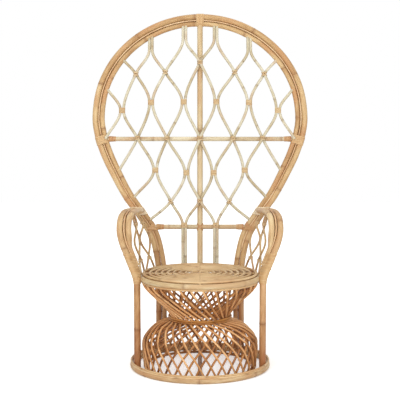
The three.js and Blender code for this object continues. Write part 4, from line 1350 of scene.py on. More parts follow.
@dataclass
class BackLattice:
    """Twelve thin rods that touch and cross inside the hoop, tied with cane where they do."""

    datum: Datum
    hoop: Hoop
    frame: BackFrame
    rod_radius: float = 0.0063
    kiss_turns: int = 4
    crossing_turns: int = 3
    crossing_waist: float = 1.35
    crossing_flare: float = 0.5
    cane: CaneStock = field(default_factory=lambda: CaneStock(0.0056, 0.0011))
    kisses: tuple[str, ...] = ("kiss_centre", "kiss_side", "kiss_edge", "kiss_low",
                               "kiss_flank", "kiss_bar")
    crossings: tuple[str, ...] = ("centre_high", "inner_high", "outer_high", "centre_mid",
                                  "inner_mid", "outer_mid", "centre_low", "inner_low")

    @property
    def layer(self) -> float:
        """How far apart the axes of two rods that touch are."""
        return 2 * self.rod_radius + self.datum.gap

    def place(self, name: str, side: float, layer: float, mirror: int = 1) -> Vector:
        """Find a rod's axis at a knot.

        Args:
            name: The knot's name.
            side: -1 or 1 for the rod nearer to or further from the middle, 0 for a crossing.
            layer: 1 for the front rod of a crossing, -1 for the rear one, 0 for neither.
            mirror: -1 for the left half.

        Returns:
            The place.
        """
        out, up = KNOT_SHARES[name]
        x = mirror * (self.hoop.half_width * out + side * self.layer / 2)
        on_post = name.startswith("centre")
        under = self.frame.post_radius if on_post else self.frame.lower.radius
        rear = under + self.datum.gap + self.rod_radius
        forward = rear if name == "kiss_bar" else rear + (layer + 1) * self.layer / 2
        return self.datum.on_back(x, self.datum.chair_height * up, forward)

    def stop(self, name: str, side: float, layer: float, mirror: int = 1) -> Knot:
        """Return a knot of a rod there, upright unless it is a crossing."""
        return Knot(self.place(name, side, layer, mirror), layer == 0)

    def on_hoop(self, place: Vector) -> Knot:
        """Return the end of a rod against the inner pole."""
        return Knot(place + self.datum.forward * (self.hoop.inner_radius - self.rod_radius) / 2)

    def tip(self, share: float) -> Knot:
        """Return a rod's end on the hoop at a share of the chair's height."""
        return self.on_hoop(self.hoop.inner_at_height(self.datum.chair_height * share))

    def pair_x(self, name: str, side: float) -> float:
        """Return how far from the middle one of a pair of rods runs."""
        return self.hoop.half_width * KNOT_SHARES[name][0] + side * self.layer / 2

    def pair_tip(self, name: str, side: float) -> Knot:
        """Return the upper end of one of a pair of rods."""
        return self.on_hoop(self.hoop.inner_at_width(self.pair_x(name, side)))

    def foot(self, side: float, mirror: int) -> Knot:
        """Return the lower end of a rod on the seat's back rail."""
        forward = self.datum.rail_radius + self.datum.gap + self.rod_radius
        return Knot(self.datum.on_back(mirror * self.pair_x("kiss_bar", side),
                                       self.datum.ring_height, forward), True)

    def bar_tip(self) -> Knot:
        """Return the end of the outermost rod, on the upper crossbar."""
        bar = self.frame.upper
        forward = bar.radius + self.datum.gap + self.rod_radius
        x = self.hoop.inner_at_height(bar.height).x
        return Knot(self.datum.on_back(x, bar.height, forward))

    def rods(self, centre_layer: int) -> list[list[Knot]]:
        """Route the right half's rods.

        Args:
            centre_layer: The layer that its rod has at the crossings on the centre post.

        Returns:
            The knots that each rod passes, from the crown down.
        """
        stop = self.stop
        return [
            [self.pair_tip("pair_outer", 1), stop("pair_outer", 1, 0), stop("outer_high", 0, 1),
             stop("kiss_edge", -1, 0), stop("outer_mid", 0, 1), stop("kiss_flank", 1, 0),
             self.tip(0.456)],
            [self.pair_tip("pair_outer", -1), stop("pair_outer", -1, 0),
             stop("inner_high", 0, -1), stop("kiss_centre", 1, 0), stop("inner_mid", 0, -1),
             stop("kiss_flank", -1, 0), stop("inner_low", 0, -1), stop("kiss_bar", 1, 0),
             self.foot(1, 1)],
            [self.pair_tip("pair_inner", 1), stop("pair_inner", 1, 0), stop("inner_high", 0, 1),
             stop("kiss_side", -1, 0), stop("inner_mid", 0, 1), stop("kiss_low", 1, 0),
             stop("inner_low", 0, 1), self.tip(0.39)],
            [self.pair_tip("pair_inner", -1), stop("pair_inner", -1, 0),
             stop("centre_high", 0, centre_layer), stop("kiss_centre", -1, 0, -1),
             stop("centre_mid", 0, centre_layer), stop("kiss_low", -1, 0),
             stop("centre_low", 0, centre_layer), stop("kiss_bar", -1, 0, -1),
             self.foot(-1, -1)],
            [self.tip(0.864), stop("outer_high", 0, -1), stop("kiss_side", 1, 0),
             stop("outer_mid", 0, -1), self.tip(0.536)],
            [self.tip(0.779), stop("kiss_edge", 1, 0), self.bar_tip()]]

    def make(self, shop: Workshop) -> None:
        """Bend the rods, tie them where they touch and cross, and tack the crossings.

        Args:
            shop: The workshop.
        """
        stock = RodStock(self.rod_radius, internode=0.19, swell=0.04, roundness=3, step=0.01)
        for side in Side:
            rods = self.rods(-1 if side is Side.RIGHT else 1)
            for number, knots in enumerate(rods, start=1):
                shop.set_rod(f"lattice_rattan_{side.word}_{number}", knotted_line(knots), stock,
                             Look.LATTICE, f"lattice_rod_{side.word}_{number}", side=side)
        shop.set_wrap("lattice_ties", self.kiss_ties(), self.cane, Look.TIE)
        shop.set_wrap("lattice_crossing_ties", self.crossing_ties(), self.cane, Look.TIE)
        shop.set_tacks("lattice_tacks", self.tack_heads())

    def tie(self, name: str, side: Side, shift: float, half_width: float,
            half_depth: float) -> Turn:
        """Return a level turn of cane round a knot, shifted up from it."""
        centre = self.place(name, 0, 0, side.value) + self.datum.upward * shift
        return Turn(centre, ACROSS, -self.datum.forward, self.datum.upward, half_width,
                    half_depth)

    def kiss_ties(self) -> list[Turn]:
        """Return the turns round each pair of rods that touch side by side."""
        return [self.tie(name, side, shift, self.layer / 2 + self.rod_radius, self.rod_radius)
                for name in self.kisses for side in Side
                for shift in self.cane.shifts(self.kiss_turns)]

    def crossing_spots(self) -> list[tuple[str, Side]]:
        """Return each crossing of each half, those on the centre post once."""
        return [(name, side) for name in self.crossings
                for side in (Side if KNOT_SHARES[name][0] else (Side.RIGHT,))]

    def crossing_ties(self) -> list[Turn]:
        """Return the turns round each crossing, wider above and below where the rods part."""
        turns = []
        for name, side in self.crossing_spots():
            for shift in self.cane.shifts(self.crossing_turns):
                flare = self.crossing_flare * abs(shift) / self.cane.pitch
                turns.append(self.tie(name, side, shift,
                                      self.rod_radius * (self.crossing_waist + flare),
                                      self.layer / 2 + self.rod_radius))
        return turns

    def tack_heads(self) -> list[tuple[Vector, Vector]]:
        """Return the heads of the tacks, on each crossing and on the rods at the lower bar."""
        proud = self.datum.forward * (self.rod_radius + self.cane.thickness)
        places = [self.place(name, 0, 1, side.value) for name, side in self.crossing_spots()]
        places += [self.place("kiss_bar", 0, 0, side.value) for side in Side]
        return [(place + proud, self.datum.forward) for place in places]


@dataclass
class Seat:
    """The seat: a thick ring, rings of rod nailed over two slats, and two supports below."""

    datum: Datum
    ring_radius: float = 0.243
    ring_pole: float = 0.011
    coil_pole: float = 0.005
    coil_outer: float = 0.236
    coil_pitch: float = 0.025
    coil_count: int = 9
    slat_pole: float = 0.004
    slat_seat_share: float = 0.75
    support_pole: float = 0.009
    support_spacing: float = 0.17
    spacer_pole: float = 0.003
    spacer_radius: float = 0.2335
    tack_radius: float = 0.0016
    tack_depth: float = 0.0002

    @property
    def top(self) -> float:
        """The height of the seat's top."""
        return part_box("seat_rings")[1][2]

    @property
    def coil_height(self) -> float:
        """The height of the coil rods' axes."""
        return self.top - self.coil_pole

    @property
    def coil_radii(self) -> list[float]:
        """How far from the middle each coil rod runs, from the outermost in."""
        return [self.coil_outer - k * self.coil_pitch for k in range(self.coil_count)]

    def make(self, shop: Workshop) -> None:
        """Build the seat.

        Args:
            shop: The workshop.
        """
        shop.set_rod("seat_ring_rattan", level_circle(self.ring_radius, self.datum.ring_height),
                     RodStock(self.ring_pole, internode=0.26, swell=0.04, roundness=5),
                     Look.BACK_BAR, "seat_ring", closed=True)
        coil = RodStock(self.coil_pole, internode=0.3, swell=0.02, roundness=3, step=0.01)
        pieces = [shop.bend("seat_coil", level_circle(radius, self.coil_height), coil, True)
                  for radius in self.coil_radii]
        # Painted shade: a thin dark rod under the outer coil closes the gap above the ring, in the
        # shaded twist rods' colour
        spacer_height = self.coil_height - self.coil_pole - self.spacer_pole
        shop.set_rod("seat_gap_shade_rod", level_circle(self.spacer_radius, spacer_height),
                     RodStock(self.spacer_pole, internode=0.3, swell=0.0, roundness=2),
                     Look.INNER_TWIST, closed=True)
        slat = RodStock(self.slat_pole, internode=0.3, swell=0.02, roundness=3)
        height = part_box("seat_rings")[0][2] + self.slat_pole * self.slat_seat_share
        for x, y in ((self.ring_radius, 0), (0, self.ring_radius)):
            ends = [Vector((-x, -y, height)), Vector((x, y, height))]
            pieces.append(shop.bend("seat_slat", ends, slat))
        shop.set_in_place(shop.join("seat_coils_rattan", pieces), Look.SEAT_ROD, "seat_rings")
        for side in Side:
            self.make_support(shop, side)
        heads = [(Vector((x * radius, y * radius, self.top - self.tack_depth)), UP)
                 for radius in self.coil_radii for x, y in ((1, 0), (-1, 0), (0, 1), (0, -1))]
        shop.set_tacks("seat_tacks", heads, self.tack_radius)

    def make_support(self, shop: Workshop, side: Side) -> None:
        """Lay a pole under the seat, across its ring.

        Args:
            shop: The workshop.
            side: The half.
        """
        name = f"seat_support_{side.word}"
        low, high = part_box(name)
        x = side.value * self.support_spacing / 2
        reach = math.sqrt(self.ring_radius ** 2 - x ** 2)
        path = [Vector((x, y, (low[2] + high[2]) / 2)) for y in (-reach, reach)]
        shop.set_rod(f"seat_support_rattan_{side.word}", path,
                     RodStock(self.support_pole, internode=0.25), Look.BASE, name)


@dataclass(frozen=True)
class TwistLayer:
    """A layer of the hourglass: the sense of its twist, how many layers deep it is, its look."""

    word: str
    sense: int
    depth: int
    look: Look


OUTER = TwistLayer("outer", -1, 0, Look.OUTER_TWIST)
# The inner layer's darker finish is painted shade
INNER = TwistLayer("inner", 1, 1, Look.INNER_TWIST)


@dataclass
class Hourglass:
    """Two layers of rods twisted opposite ways, between the seat ring and the floor."""

    datum: Datum
    rod_radius: float = 0.0042
    inner_rod_radius: float = 0.0047
    rod_count: int = 32
    rod_stray: float = 0.006
    rim_radius: float = 0.240
    waist_radius: float = 0.1217
    waist_height: float = 0.212
    under_hoop_radius: float = 0.0045
    under_hoop_out: float = 0.7
    under_hoop_down: float = 0.9
    waist_hoop_radius: float = 0.0042
    waist_hoop_pitch: float = 1.03
    cone_twist: float = math.radians(38)
    dome_twist: float = math.radians(48)
    band_twist: float = math.radians(7)
    cone_shares: tuple[tuple[float, float, float], ...] = (
        (1, 1, 1), (0.96, 0.87, 0.94), (0.52, 0.49, 0.7), (0.22, 0.24, 0.42), (0, 0, 0))
    dome_shares: tuple[tuple[float, float, float], ...] = (
        (0, 0, 0), (0.5, 0.12, 0.33), (0.82, 0.29, 0.53), (0.98, 0.45, 0.66),
        (0.99, 0.66, 0.81), (0.94, 1, 1))

    @property
    def head_height(self) -> float:
        """The height of the rods' heads, under the seat ring."""
        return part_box("seat_ring")[0][2] - self.datum.gap - self.rod_radius

    @property
    def waist_reach(self) -> float:
        """How far above and below the waist the rods keep straight for the two hoops."""
        low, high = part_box("waist_hoops")
        return (high[2] - low[2]) / 2 + self.rod_radius

    def profile(self) -> list[Vector]:
        """Return the outer layer's profile: radius, twist and height, from the head down."""
        spread = self.rim_radius - self.waist_radius
        rows = []
        for out, up, turn in self.cone_shares:
            height = lerp(self.waist_height + self.waist_reach, self.head_height, up)
            rows.append(Vector((self.waist_radius + spread * out, self.cone_twist * turn,
                                height)))
        for out, down, turn in self.dome_shares:
            height = lerp(self.waist_height - self.waist_reach, self.rod_radius, down)
            rows.append(Vector((self.waist_radius + spread * out,
                                -self.dome_twist * turn - self.band_twist, height)))
        return rows

    def inward(self, rows: Sequence[Vector], k: int) -> Vector:
        """Return the way from a row to the layer inside, in radius and height.

        Args:
            rows: The outer layer's profile.
            k: The row's number.

        Returns:
            The way for one unit of depth: level at both ends, and a mitre at a bend.
        """
        spans = [Vector((below.z - above.z, above.x - below.x)).normalized()
                 for above, below in zip(rows[max(k - 1, 0):k + 1], rows[max(k, 1):k + 2])]
        if k in (0, len(rows) - 1):
            return Vector((1 / spans[0].x, 0))
        before, after = spans
        return (before + after) / (1 + before.dot(after))

    def rod_path(self, layer: TwistLayer) -> list[Vector]:
        """Draw one rod's axis.

        Args:
            layer: The layer that it is in.

        Returns:
            The places from the head to the floor.
        """
        rows = self.profile()
        depth = layer.depth * (self.rod_radius + self.datum.gap + self.inner_rod_radius)
        places = []
        for k, row in enumerate(rows):
            inward = self.inward(rows, k) * depth
            radius = row.x + inward.x
            turn = layer.sense * (row.y - rows[-1].y + math.pi / self.rod_count) - math.pi / 2
            places.append(Vector((radius * math.cos(turn), radius * math.sin(turn),
                                  row.z + inward.y)))
        return smooth_line(places, 6)

    def foot_circle(self, layer: TwistLayer) -> list[Vector]:
        """Return the circle on which a layer's rods meet the floor."""
        foot = self.rod_path(layer)[-1]
        return level_circle(math.hypot(foot.x, foot.y), self.rod_radius)

    def make(self, shop: Workshop) -> None:
        """Bend one rod of each layer, copy it round, and hold it with hoops.

        Args:
            shop: The workshop.
        """
        under_radius = self.rim_radius + self.under_hoop_radius * self.under_hoop_out
        under_height = (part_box("twist_cone_outer")[1][2]
                        - self.under_hoop_radius * self.under_hoop_down)
        shop.set_rod("under_hoop", level_circle(under_radius, under_height),
                     RodStock(self.under_hoop_radius, internode=0.3, swell=0.0, roundness=3),
                     Look.BASE_HOOP, closed=True)
        hoop = RodStock(self.rod_radius, internode=0.3, swell=0.0, roundness=2)
        head = level_circle(
            self.rim_radius - self.rod_radius - self.datum.gap - self.inner_rod_radius,
            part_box("twist_cone_inner")[1][2] - self.inner_rod_radius)
        outer_rings = [shop.bend("foot_hoop", self.foot_circle(OUTER), hoop, True)]
        inner_rings = [shop.bend("head_hoop", head, hoop, True),
                       shop.bend("inner_foot_hoop", self.foot_circle(INNER), hoop, True)]
        self.make_layer(shop, OUTER, outer_rings)
        self.make_layer(shop, INNER, inner_rings)
        radius = self.waist_radius + self.rod_radius + self.waist_hoop_radius
        waist = replace(hoop, radius=self.waist_hoop_radius, roundness=3)
        hoops = []
        for side in (-1, 1):
            height = self.waist_height + side * self.waist_hoop_radius * self.waist_hoop_pitch
            hoops.append(shop.bend("waist_hoop", level_circle(radius, height), waist, True))
        shop.set_in_place(shop.join("waist_hoops_rattan", hoops), Look.WAIST, "waist_hoops")

    def make_layer(self, shop: Workshop, layer: TwistLayer, rings: Sequence[Piece]) -> None:
        """Build one layer with its hoops.

        Args:
            shop: The workshop.
            layer: The layer.
            rings: Its hoops.
        """
        radius = self.inner_rod_radius if layer.depth else self.rod_radius
        stock = RodStock(radius, internode=0.35, swell=0.0, roundness=2, step=0.014)
        one = shop.bend("twisted_rod", self.rod_path(layer), stock)
        centre = Matrix.Translation(shop.origin)
        rods = []
        for k in range(self.rod_count):
            stray = shop.chance.uniform(-self.rod_stray, self.rod_stray)
            turn = Matrix.Rotation(math.tau * k / self.rod_count + stray, 4, "Z")
            rods.append(shop.copy(one, centre @ turn @ centre.inverted()))
        bpy.data.objects.remove(one, do_unlink=True)
        whole = shop.join(f"twisted_rattan_{layer.word}", [*rods, *rings])
        shop.set_in_place(whole, layer.look, f"twist_cone_{layer.word}",
                          f"twist_dome_{layer.word}")


@dataclass
class Base:
    """The ring on the floor, two thin hoops on its shoulder, and a stretcher across it."""

    datum: Datum
    ring_radius: float = 0.282
    ring_pole: float = 0.012
    hoop_pole: float = 0.0042
    butt_turn: float = math.radians(68)
    stretcher_pole: float = 0.0085

    def arc(self, start: float, end: float, count: int) -> list[Vector]:
        """Return places on the ring's axis between two turns from its front."""
        turns = [lerp(start, end, k / count) - math.pi / 2 for k in range(count + 1)]
        return [Vector((self.ring_radius * math.cos(turn), self.ring_radius * math.sin(turn),
                        self.ring_pole)) for turn in turns]

    def make(self, shop: Workshop) -> None:
        """Build the base.

        Args:
            shop: The workshop.
        """
        ring = RodStock(self.ring_pole, internode=0.25, roundness=5)
        cut = self.datum.gap / self.ring_radius
        front = self.arc(-self.butt_turn + cut, self.butt_turn - cut, 80)
        rear = self.arc(self.butt_turn + cut, math.tau - self.butt_turn - cut, 120)
        for word, path in (("front", front), ("rear", rear)):
            shop.set_rod(f"base_ring_rattan_{word}", path, ring, Look.BASE, f"base_ring_{word}")
        hoop = RodStock(self.hoop_pole, internode=0.3, swell=0.02, roundness=3)
        for name in ("base_hoop_lower", "base_hoop_upper"):
            low, high = (Vector(corner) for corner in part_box(name))
            path = level_circle((high.x - low.x) / 2 - self.hoop_pole, (low.z + high.z) / 2)
            shop.set_rod(f"{name}_rattan", path, hoop, Look.BASE_HOOP, name, closed=True)
        reach = self.ring_radius - self.ring_pole
        path = [Vector((0, y, self.stretcher_pole)) for y in (-reach, reach)]
        # The stretcher's dark brown finish is painted shade from the seat above
        shop.set_rod("stretcher_rattan", path, RodStock(self.stretcher_pole, internode=0.22),
                     Look.STRETCHER, "base_stretcher")


@dataclass
class Arms:
    """The front posts and the looped arms: two poles, two thinner rods, and their cane."""

    datum: Datum
    hoop: Hoop
    post_radius: float = 0.014
    post_height: float = 0.372
    post_turn: float = math.radians(15)
    post_nodes: tuple[float, float] = (0.173, 0.197)
    post_internode: float = 0.25
    pole_radius: float = 0.0128
    pole_spread: float = 0.0100
    pole_turn: float = math.radians(50)
    filler_radius: float = 0.0034
    filler_forward: float = 0.006
    groove_shade_radius: float = 0.0062
    half_width: float = 0.3415
    height: float = 0.657
    inner_start: float = 0.425
    opened_share: float = 0.75
    wrap_bottom: float = 0.363
    wrap_top: float = 0.488
    wrap_slack: float = 0.0006
    end_wrap_height: float = 0.03
    nose_radius: float = 0.0122
    nose_reach: float = 0.022
    nose_back: int = 9
    cane: CaneStock = field(default_factory=CaneStock)
    rise_shares: tuple[tuple[float, float, float], ...] = (
        (0, 0, 0), (0.11, -0.003, 0.102), (0.34, -0.008, 0.248), (0.56, -0.017, 0.394),
        (0.84, -0.034, 0.577), (1, -0.03, 0.76))
    run_shares: tuple[tuple[float, float, float], ...] = (
        (0.027, 0.056, 0.934), (0.221, 0.225, 1), (0.471, 0.534, 0.993), (0.769, 0.8, 0.967),
        (1, 1, 0.949))

    @property
    def post_place(self) -> Vector:
        """The foot of the right post."""
        reach = self.datum.seat_ring_edge + self.datum.gap + self.post_radius
        return Vector((reach * math.cos(self.post_turn), -reach * math.sin(self.post_turn), 0))

    @property
    def top_height(self) -> float:
        """The height of the arm's axis at its highest."""
        return self.height - self.pole_radius

    def outer_line(self) -> list[Vector]:
        """Return the axis of the right arm's outer pole, from the post to the hoop."""
        post = self.post_place
        top = self.top_height
        widest = self.half_width - self.pole_radius
        at_hoop = self.hoop.inner_at_height(top).x + self.hoop.spacing(top)
        end_depth = self.datum.on_back(0, top).y
        points = []
        for shares, start_x, end_x in ((self.rise_shares, post.x, widest),
                                       (self.run_shares, widest, at_hoop)):
            for across, back, rise in shares:
                points.append(Vector((lerp(start_x, end_x, across),
                                      lerp(post.y, end_depth, back),
                                      lerp(self.post_height, top, rise))))
        return smooth_line(points, 10)

    def opening(self, height: float) -> float:
        """Return how far the poles have come apart at a height, from 0 to 1."""
        opened = lerp(self.post_height, self.top_height, self.opened_share)
        return smoothstep(height, self.wrap_top, opened)

    def spacing(self, height: float) -> float:
        """Return how far apart the two poles' axes are at a height."""
        return 2 * self.pole_radius + self.datum.gap + self.pole_spread * self.opening(height)

    def lift(self, spacing: float, radius: float) -> float:
        """Return how far out of the poles' plane a rod touches both, or 0 if it can't."""
        reach = self.pole_radius + self.datum.gap + radius
        return math.sqrt(max(reach ** 2 - spacing ** 2 / 4, 0.0))

    def beside(self, share: float, radius: float = 0.0, start: float = 0.0) -> list[Vector]:
        """Run a line beside the outer pole.

        Args:
            share: A share of the way to the inner pole.
            radius: The radius of a rod that lies in the groove on the poles, or 0 for a pole.
            start: The height that it starts at.

        Returns:
            The places along it.
        """
        line = self.outer_line()
        path = []
        for k, place in enumerate(line):
            if place.z < start and k < len(line) / 2:
                continue
            along = (line[min(k + 1, len(line) - 1)] - line[max(k - 1, 0)]).normalized()
            level = (along * along.x - ACROSS).normalized()
            upward = along.cross(level).normalized()
            rolled = Matrix.Rotation(-self.pole_turn * (1 - self.opening(place.z)), 3, along)
            spacing = self.spacing(place.z)
            lift = max(self.lift(spacing, radius), self.filler_forward) if radius else 0.0
            path.append(place + (rolled @ level) * share * spacing + (rolled @ upward) * lift)
        return path

    def inner_line(self) -> list[Vector]:
        """Return the axis of the right arm's inner pole."""
        return self.beside(1, 0.0, self.inner_start)

    def filler_line(self) -> list[Vector]:
        """Return the axis of the filler in the groove on top."""
        return self.beside(0.5, self.filler_radius, self.inner_start)

    def groove_shade_line(self) -> list[Vector]:
        """Return the axis of the thicker rod that closes the groove from below, dark as painted
        shade.
        """
        path = []
        for axis, above in zip(self.beside(0.5, 0.0, self.inner_start), self.filler_line()):
            drop = self.lift(self.spacing(axis.z), self.groove_shade_radius)
            path.append(axis - (above - axis).normalized() * drop)
        return path

    def end_section(self) -> BundleSection:
        """Return the cut across the hoop where the arm runs into it."""
        return self.hoop.section(self.hoop.share_at_height(self.outer_line()[-1].z))

    def nose_line(self) -> list[Vector]:
        """Return the axis of the pole's tip, which passes in front of the hoop."""
        section = self.end_section()
        proud = section.half_depth + self.cane.thickness + self.nose_radius
        middle = section.centre + self.datum.forward * proud
        over = middle + ACROSS * (self.nose_reach / 2)
        return smooth_line(
            [self.inner_line()[-self.nose_back], over, middle - ACROSS * self.nose_reach], 8)

    def post_turns(self) -> list[Turn]:
        """Wind the joint of the post and the arm, from round below to oval above."""
        line = self.outer_line()
        count = round((self.wrap_top - self.wrap_bottom) / self.cane.pitch)
        across = Vector((-math.cos(self.pole_turn), math.sin(self.pole_turn), 0))
        through = Vector((-across.y, across.x, 0))
        half = self.spacing(self.wrap_top) / 2
        turns = []
        for k in range(count):
            height = self.wrap_bottom + (k + 0.5) * self.cane.pitch
            share = (height - self.wrap_bottom) / (self.wrap_top - self.wrap_bottom)
            shift = np.interp(share, (0, 0.5, 1), (0, 0.8, 1))
            axis = (self.post_place if height < self.post_height
                    else next(place for place in line if place.z >= height))
            half_width = lerp(self.post_radius, half + self.pole_radius, shift)
            half_depth = lerp(self.post_radius, self.pole_radius, shift) + self.wrap_slack
            centre = Vector((axis.x, axis.y, height)) + across * shift * half
            turns.append(Turn(centre, across, through, UP, half_width + self.datum.gap,
                              half_depth + self.datum.gap))
        return turns

    def end_turns(self) -> list[Turn]:
        """Wind the hoop where the arm runs into it, in level turns."""
        height = self.outer_line()[-1].z
        section = self.end_section()
        slope = section.along / section.along.z
        across = section.outward - slope * section.outward.z
        through = self.datum.forward - slope * self.datum.forward.z
        turns = []
        for shift in self.cane.shifts(round(self.end_wrap_height / self.cane.pitch)):
            centre = section.centre + slope * (shift + height - section.centre.z)
            turns.append(Turn(centre, across, through, slope,
                              section.half_width + self.datum.gap,
                              section.half_depth + self.datum.gap))
        return turns

    def make(self, shop: Workshop) -> None:
        """Build both posts and both arms."""
        for side, node in zip(Side, self.post_nodes):
            self.make_arm(shop, side, node)

    def make_arm(self, shop: Workshop, side: Side, node: float) -> None:
        """Build one post and its arm.

        Args:
            shop: The workshop.
            side: The half.
            node: How far up the post has a node.
        """
        post = RodStock(self.post_radius, internode=self.post_internode, roundness=5)
        pole = RodStock(self.pole_radius, swell=0.04, roundness=5, step=0.01)
        filler = RodStock(self.filler_radius, internode=0.3, swell=0.02, roundness=2, step=0.01)
        groove_shade = replace(filler, radius=self.groove_shade_radius)
        nose = replace(pole, radius=self.nose_radius, swell=0.0)
        foot = self.post_place
        word = side.word
        shop.set_rod(f"front_post_rattan_{word}", [foot, foot + UP * self.post_height], post,
                     Look.POST, f"front_post_{word}", side=side, node_at=node)
        for name, path, stock, look, nodes in (
                ("outer", self.beside(0), pole, Look.ARM_POLE, [f"arm_outer_pole_{word}"]),
                ("inner", self.inner_line(), pole, Look.ARM_POLE, [f"arm_inner_pole_{word}"]),
                ("filler", self.filler_line(), filler, Look.FILLER, [f"arm_filler_{word}"]),
                # Painted shade: a dark rod under the filler stands for the groove's shadow
                ("groove_shade", self.groove_shade_line(), groove_shade, Look.GROOVE_SHADE, [])):
            shop.set_rod(f"arm_{name}_rattan_{word}", path, stock, look, *nodes, side=side)
        # The nose's and the end cane's near-white finishes are partly a painted highlight
        shop.set_rod(f"arm_nose_rattan_{word}", self.nose_line(), nose, Look.PALE_END, side=side)
        shop.set_wrap(f"arm_post_cane_{word}", self.post_turns(), self.cane, Look.CANE,
                      f"arm_post_wrap_{word}", side=side)
        shop.set_wrap(f"arm_end_cane_{word}", self.end_turns(), self.cane, Look.END_CANE,
                      f"arm_end_wrap_{word}", side=side)


@dataclass
class SideLattice:
    """Four thin rods under each arm, which cross above and below and are tied there."""

    datum: Datum
    arms: Arms
    seat: Seat
    rod_radius: float = 0.0035
    shown_radius: float = 0.0046
    column_start: float = 0.035
    column_pitch: float = 0.08
    column_count: int = 2
    hug_share: float = 0.19
    layer_share: float = 1.2
    tie_depth_share: float = 1.4
    tie_turns: int = 3
    tied_knots: tuple[int, int] = (1, 3)
    shares: tuple[tuple[float, float, float, float], ...] = (
        (0, -1, 0, 0), (0.24, 0, 1, 0.21), (0.55, 1, 0, 0.6), (0.82, 0, 1, 0.7),
        (1, -0.45, 0, 1))
    cane: CaneStock = field(default_factory=lambda: CaneStock(0.0042, 0.001))

    def knots(self, column: int, lean: int) -> list[Knot]:
        """Route one rod of a column.

        Args:
            column: The column's number, from the front.
            lean: -1 for the rod that leans forward first and 1 for the other one.

        Returns:
            The knots that it passes, from the seat ring up.
        """
        swing = (self.column_pitch - 2 * self.rod_radius - self.datum.gap) / 2
        reach = self.seat.coil_outer + self.seat.coil_pole + self.datum.gap + self.rod_radius
        inner = self.arms.inner_line()
        rear = inner[len(inner) // 2:]
        knots = []
        for rise, swing_share, layer, out in self.shares:
            y = self.column_start + column * self.column_pitch + lean * swing * swing_share
            head = min(rear, key=lambda place: abs(place.y - y))
            foot = Vector((math.sqrt(reach ** 2 - y ** 2), y, self.datum.ring_height))
            hugged = self.hug_share * (y - self.column_start) / self.column_pitch
            outward = out if out in (0, 1) else out - hugged
            x = (lerp(foot.x, head.x, outward)
                 + lean * self.layer_share * self.rod_radius * layer)
            knots.append(Knot(Vector((x, y, lerp(foot.z, head.z, rise)))))
        return knots

    def ties(self, column: int) -> list[Turn]:
        """Wind cane round each crossing of a column.

        Args:
            column: The column's number.

        Returns:
            The turns in order.
        """
        ahead, behind = self.knots(column, -1), self.knots(column, 1)
        half_width = self.shown_radius + self.rod_radius * self.layer_share
        turns = []
        for k in self.tied_knots:
            middle = (ahead[k].place + behind[k].place) / 2
            for shift in self.cane.shifts(self.tie_turns):
                turns.append(Turn(middle + UP * shift, ACROSS, BACKWARD, UP, half_width,
                                  self.shown_radius * self.tie_depth_share))
        return turns

    def make(self, shop: Workshop) -> None:
        """Bend the rods and tie them where they cross.

        Args:
            shop: The workshop.
        """
        stock = RodStock(self.shown_radius, internode=0.2, swell=0.03, roundness=2, step=0.008)
        for side in Side:
            for column in range(self.column_count):
                for word, lean in (("front", -1), ("rear", 1)):
                    name = f"{word}_{column + 1}_{side.word}"
                    shop.set_rod(f"side_rattan_{name}", knotted_line(self.knots(column, lean)),
                                 stock, Look.SIDE_ROD, f"side_lattice_{name}", side=side)
            turns = [turn for column in range(self.column_count) for turn in self.ties(column)]
            shop.set_wrap(f"side_ties_{side.word}", turns, self.cane, Look.TIE, side=side)


# The studio


@dataclass(frozen=True)
class SoftLamp:
    """A square soft lamp: its name, its place, how wide it is, and its power."""

    name: str
    place: tuple[float, float, float]
    width: float
    power: float


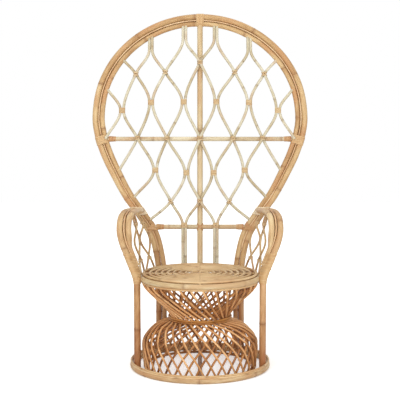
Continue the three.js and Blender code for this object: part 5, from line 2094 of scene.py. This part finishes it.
@dataclass
class Studio:
    """A pale floor, soft lamps, and a camera where the photograph's was."""

    camera_place: tuple[float, float, float] = (0.0, -4.2376, 1.10)
    camera_tilt: float = math.radians(84.6)
    lens: float = 91.35
    sensor: float = 36.0
    floor_size: float = 14.0
    floor_colour: str = "#F4F3F2"
    floor_grain: float = 900.0
    floor_bump: tuple[float, float] = (0.05, 0.0002)
    glow: tuple[float, float] = (0.40, 0.75)
    glow_reach: tuple[float, float] = (0.35, 1.3)
    world_strength: float = 0.58
    lamp_aim: Vector = field(default_factory=lambda: Vector((0, 0, 0.7)))
    lamps: tuple[SoftLamp, ...] = (
        SoftLamp("key_lamp", (-1.8, -3.4, 2.8), 2.0, 69),
        SoftLamp("low_lamp", (0.4, -4.0, 0.6), 1.4, 20),
        SoftLamp("fill_lamp", (2.4, -3.4, 1.8), 2.2, 42),
        SoftLamp("top_lamp", (0.0, 0.6, 3.8), 2.6, 28))

    def make_camera(self) -> None:
        """Stand the camera where the photograph's was."""
        camera = bpy.data.cameras.new("photograph_camera")
        camera.lens = self.lens
        camera.sensor_width = self.sensor
        holder = bpy.data.objects.new("photograph_camera", camera)
        holder.location = self.camera_place
        holder.rotation_euler = (self.camera_tilt, 0, 0)
        bpy.context.scene.collection.objects.link(holder)
        bpy.context.scene.camera = holder

    def make_floor(self) -> None:
        """Lay the floor."""
        bpy.ops.object.select_all(action="DESELECT")
        bpy.ops.mesh.primitive_plane_add(size=self.floor_size, location=(0, 0, 0))
        floor = bpy.context.object
        floor.name = "studio_floor"
        floor.data.materials.append(self.floor_finish())

    def floor_finish(self) -> bpy.types.Material:
        """Make the floor of matt paper, a white that the camera sees lifted to the page's.

        Returns:
            The material. The lift is weaker near the chair, so that its shadow stays.
        """
        material, tree = new_material("matt_paper_floor")
        place = add_node(tree, "TexCoord")
        noise = add_node(tree, "TexNoise", None, {
            "Vector": place.outputs["Object"], "Scale": self.floor_grain, "Detail": 2.0})
        strength, height = self.floor_bump
        bump = add_node(tree, "Bump", None,
                        {"Strength": strength, "Distance": height, "Height": noise})
        matt = add_node(tree, "BsdfDiffuse", None,
                        {"Color": linear(self.floor_colour), "Normal": bump})
        rays = add_node(tree, "LightPath")
        away = add_node(tree, "VectorMath", {"operation": "LENGTH"},
                        {0: place.outputs["Object"]})
        (near, far), (weak, strong) = self.glow_reach, self.glow
        lift = add_node(tree, "MapRange", {"interpolation_type": "SMOOTHSTEP"}, {
            "Value": away.outputs["Value"], "From Min": near, "From Max": far,
            "To Min": weak, "To Max": strong})
        glow = add_node(tree, "Math", {"operation": "MULTIPLY"},
                        {0: rays.outputs["Is Camera Ray"], 1: lift})
        light = add_node(tree, "Emission", None, {"Strength": glow})
        both = add_node(tree, "AddShader", None, {0: matt, 1: light})
        add_node(tree, "OutputMaterial", None, {"Surface": both})
        return material

    def make_world(self) -> None:
        """Light the room evenly, and let the camera and reflections see it white."""
        world = bpy.data.worlds.new("studio_world")
        bpy.context.scene.world = world
        world.use_nodes = True
        tree = world.node_tree
        tree.nodes.clear()
        rays = add_node(tree, "LightPath")
        seen = add_node(tree, "Math", {"operation": "MAXIMUM"}, {
            0: rays.outputs["Is Camera Ray"], 1: rays.outputs["Is Glossy Ray"]})
        strength = add_node(tree, "MapRange", None,
                            {"Value": seen, "To Min": self.world_strength, "To Max": 1.0})
        back = add_node(tree, "Background", None,
                        {"Color": (1, 1, 1, 1), "Strength": strength})
        add_node(tree, "OutputWorld", None, {"Surface": back})

    def hang_lamp(self, lamp: SoftLamp) -> None:
        """Hang a lamp that looks at the middle of the chair.

        Args:
            lamp: The lamp.
        """
        light = bpy.data.lights.new(lamp.name, "AREA")
        light.size = lamp.width
        light.energy = lamp.power
        holder = bpy.data.objects.new(lamp.name, light)
        holder.location = lamp.place
        aim = self.lamp_aim - Vector(lamp.place)
        holder.rotation_euler = aim.to_track_quat("-Z", "Y").to_euler()
        bpy.context.scene.collection.objects.link(holder)

    def make(self) -> None:
        """Set the studio up."""
        self.make_camera()
        self.make_floor()
        self.make_world()
        for lamp in self.lamps:
            self.hang_lamp(lamp)
        bpy.context.scene.view_settings.view_transform = "Standard"


def main() -> None:
    """Build the chair's pieces in order, then the studio."""
    logging.basicConfig(level=logging.INFO, format="%(name)s %(message)s")
    datum = Datum()
    finishes = {look: finish.build() for look, finish in choose_finishes().items()}
    shop = Workshop(datum.seat_centre, finishes)
    hoop = Hoop(datum)
    back = BackFrame(datum, hoop)
    seat = Seat(datum)
    arms = Arms(datum, hoop)
    for assembly in (hoop, back, BackLattice(datum, hoop, back), seat, Hourglass(datum),
                     Base(datum), arms, SideLattice(datum, arms, seat)):
        assembly.make(shop)
        log.info("%s is done", type(assembly).__name__)
    shop.clear_bench()
    Studio().make()


if __name__ == "__main__":
    main()
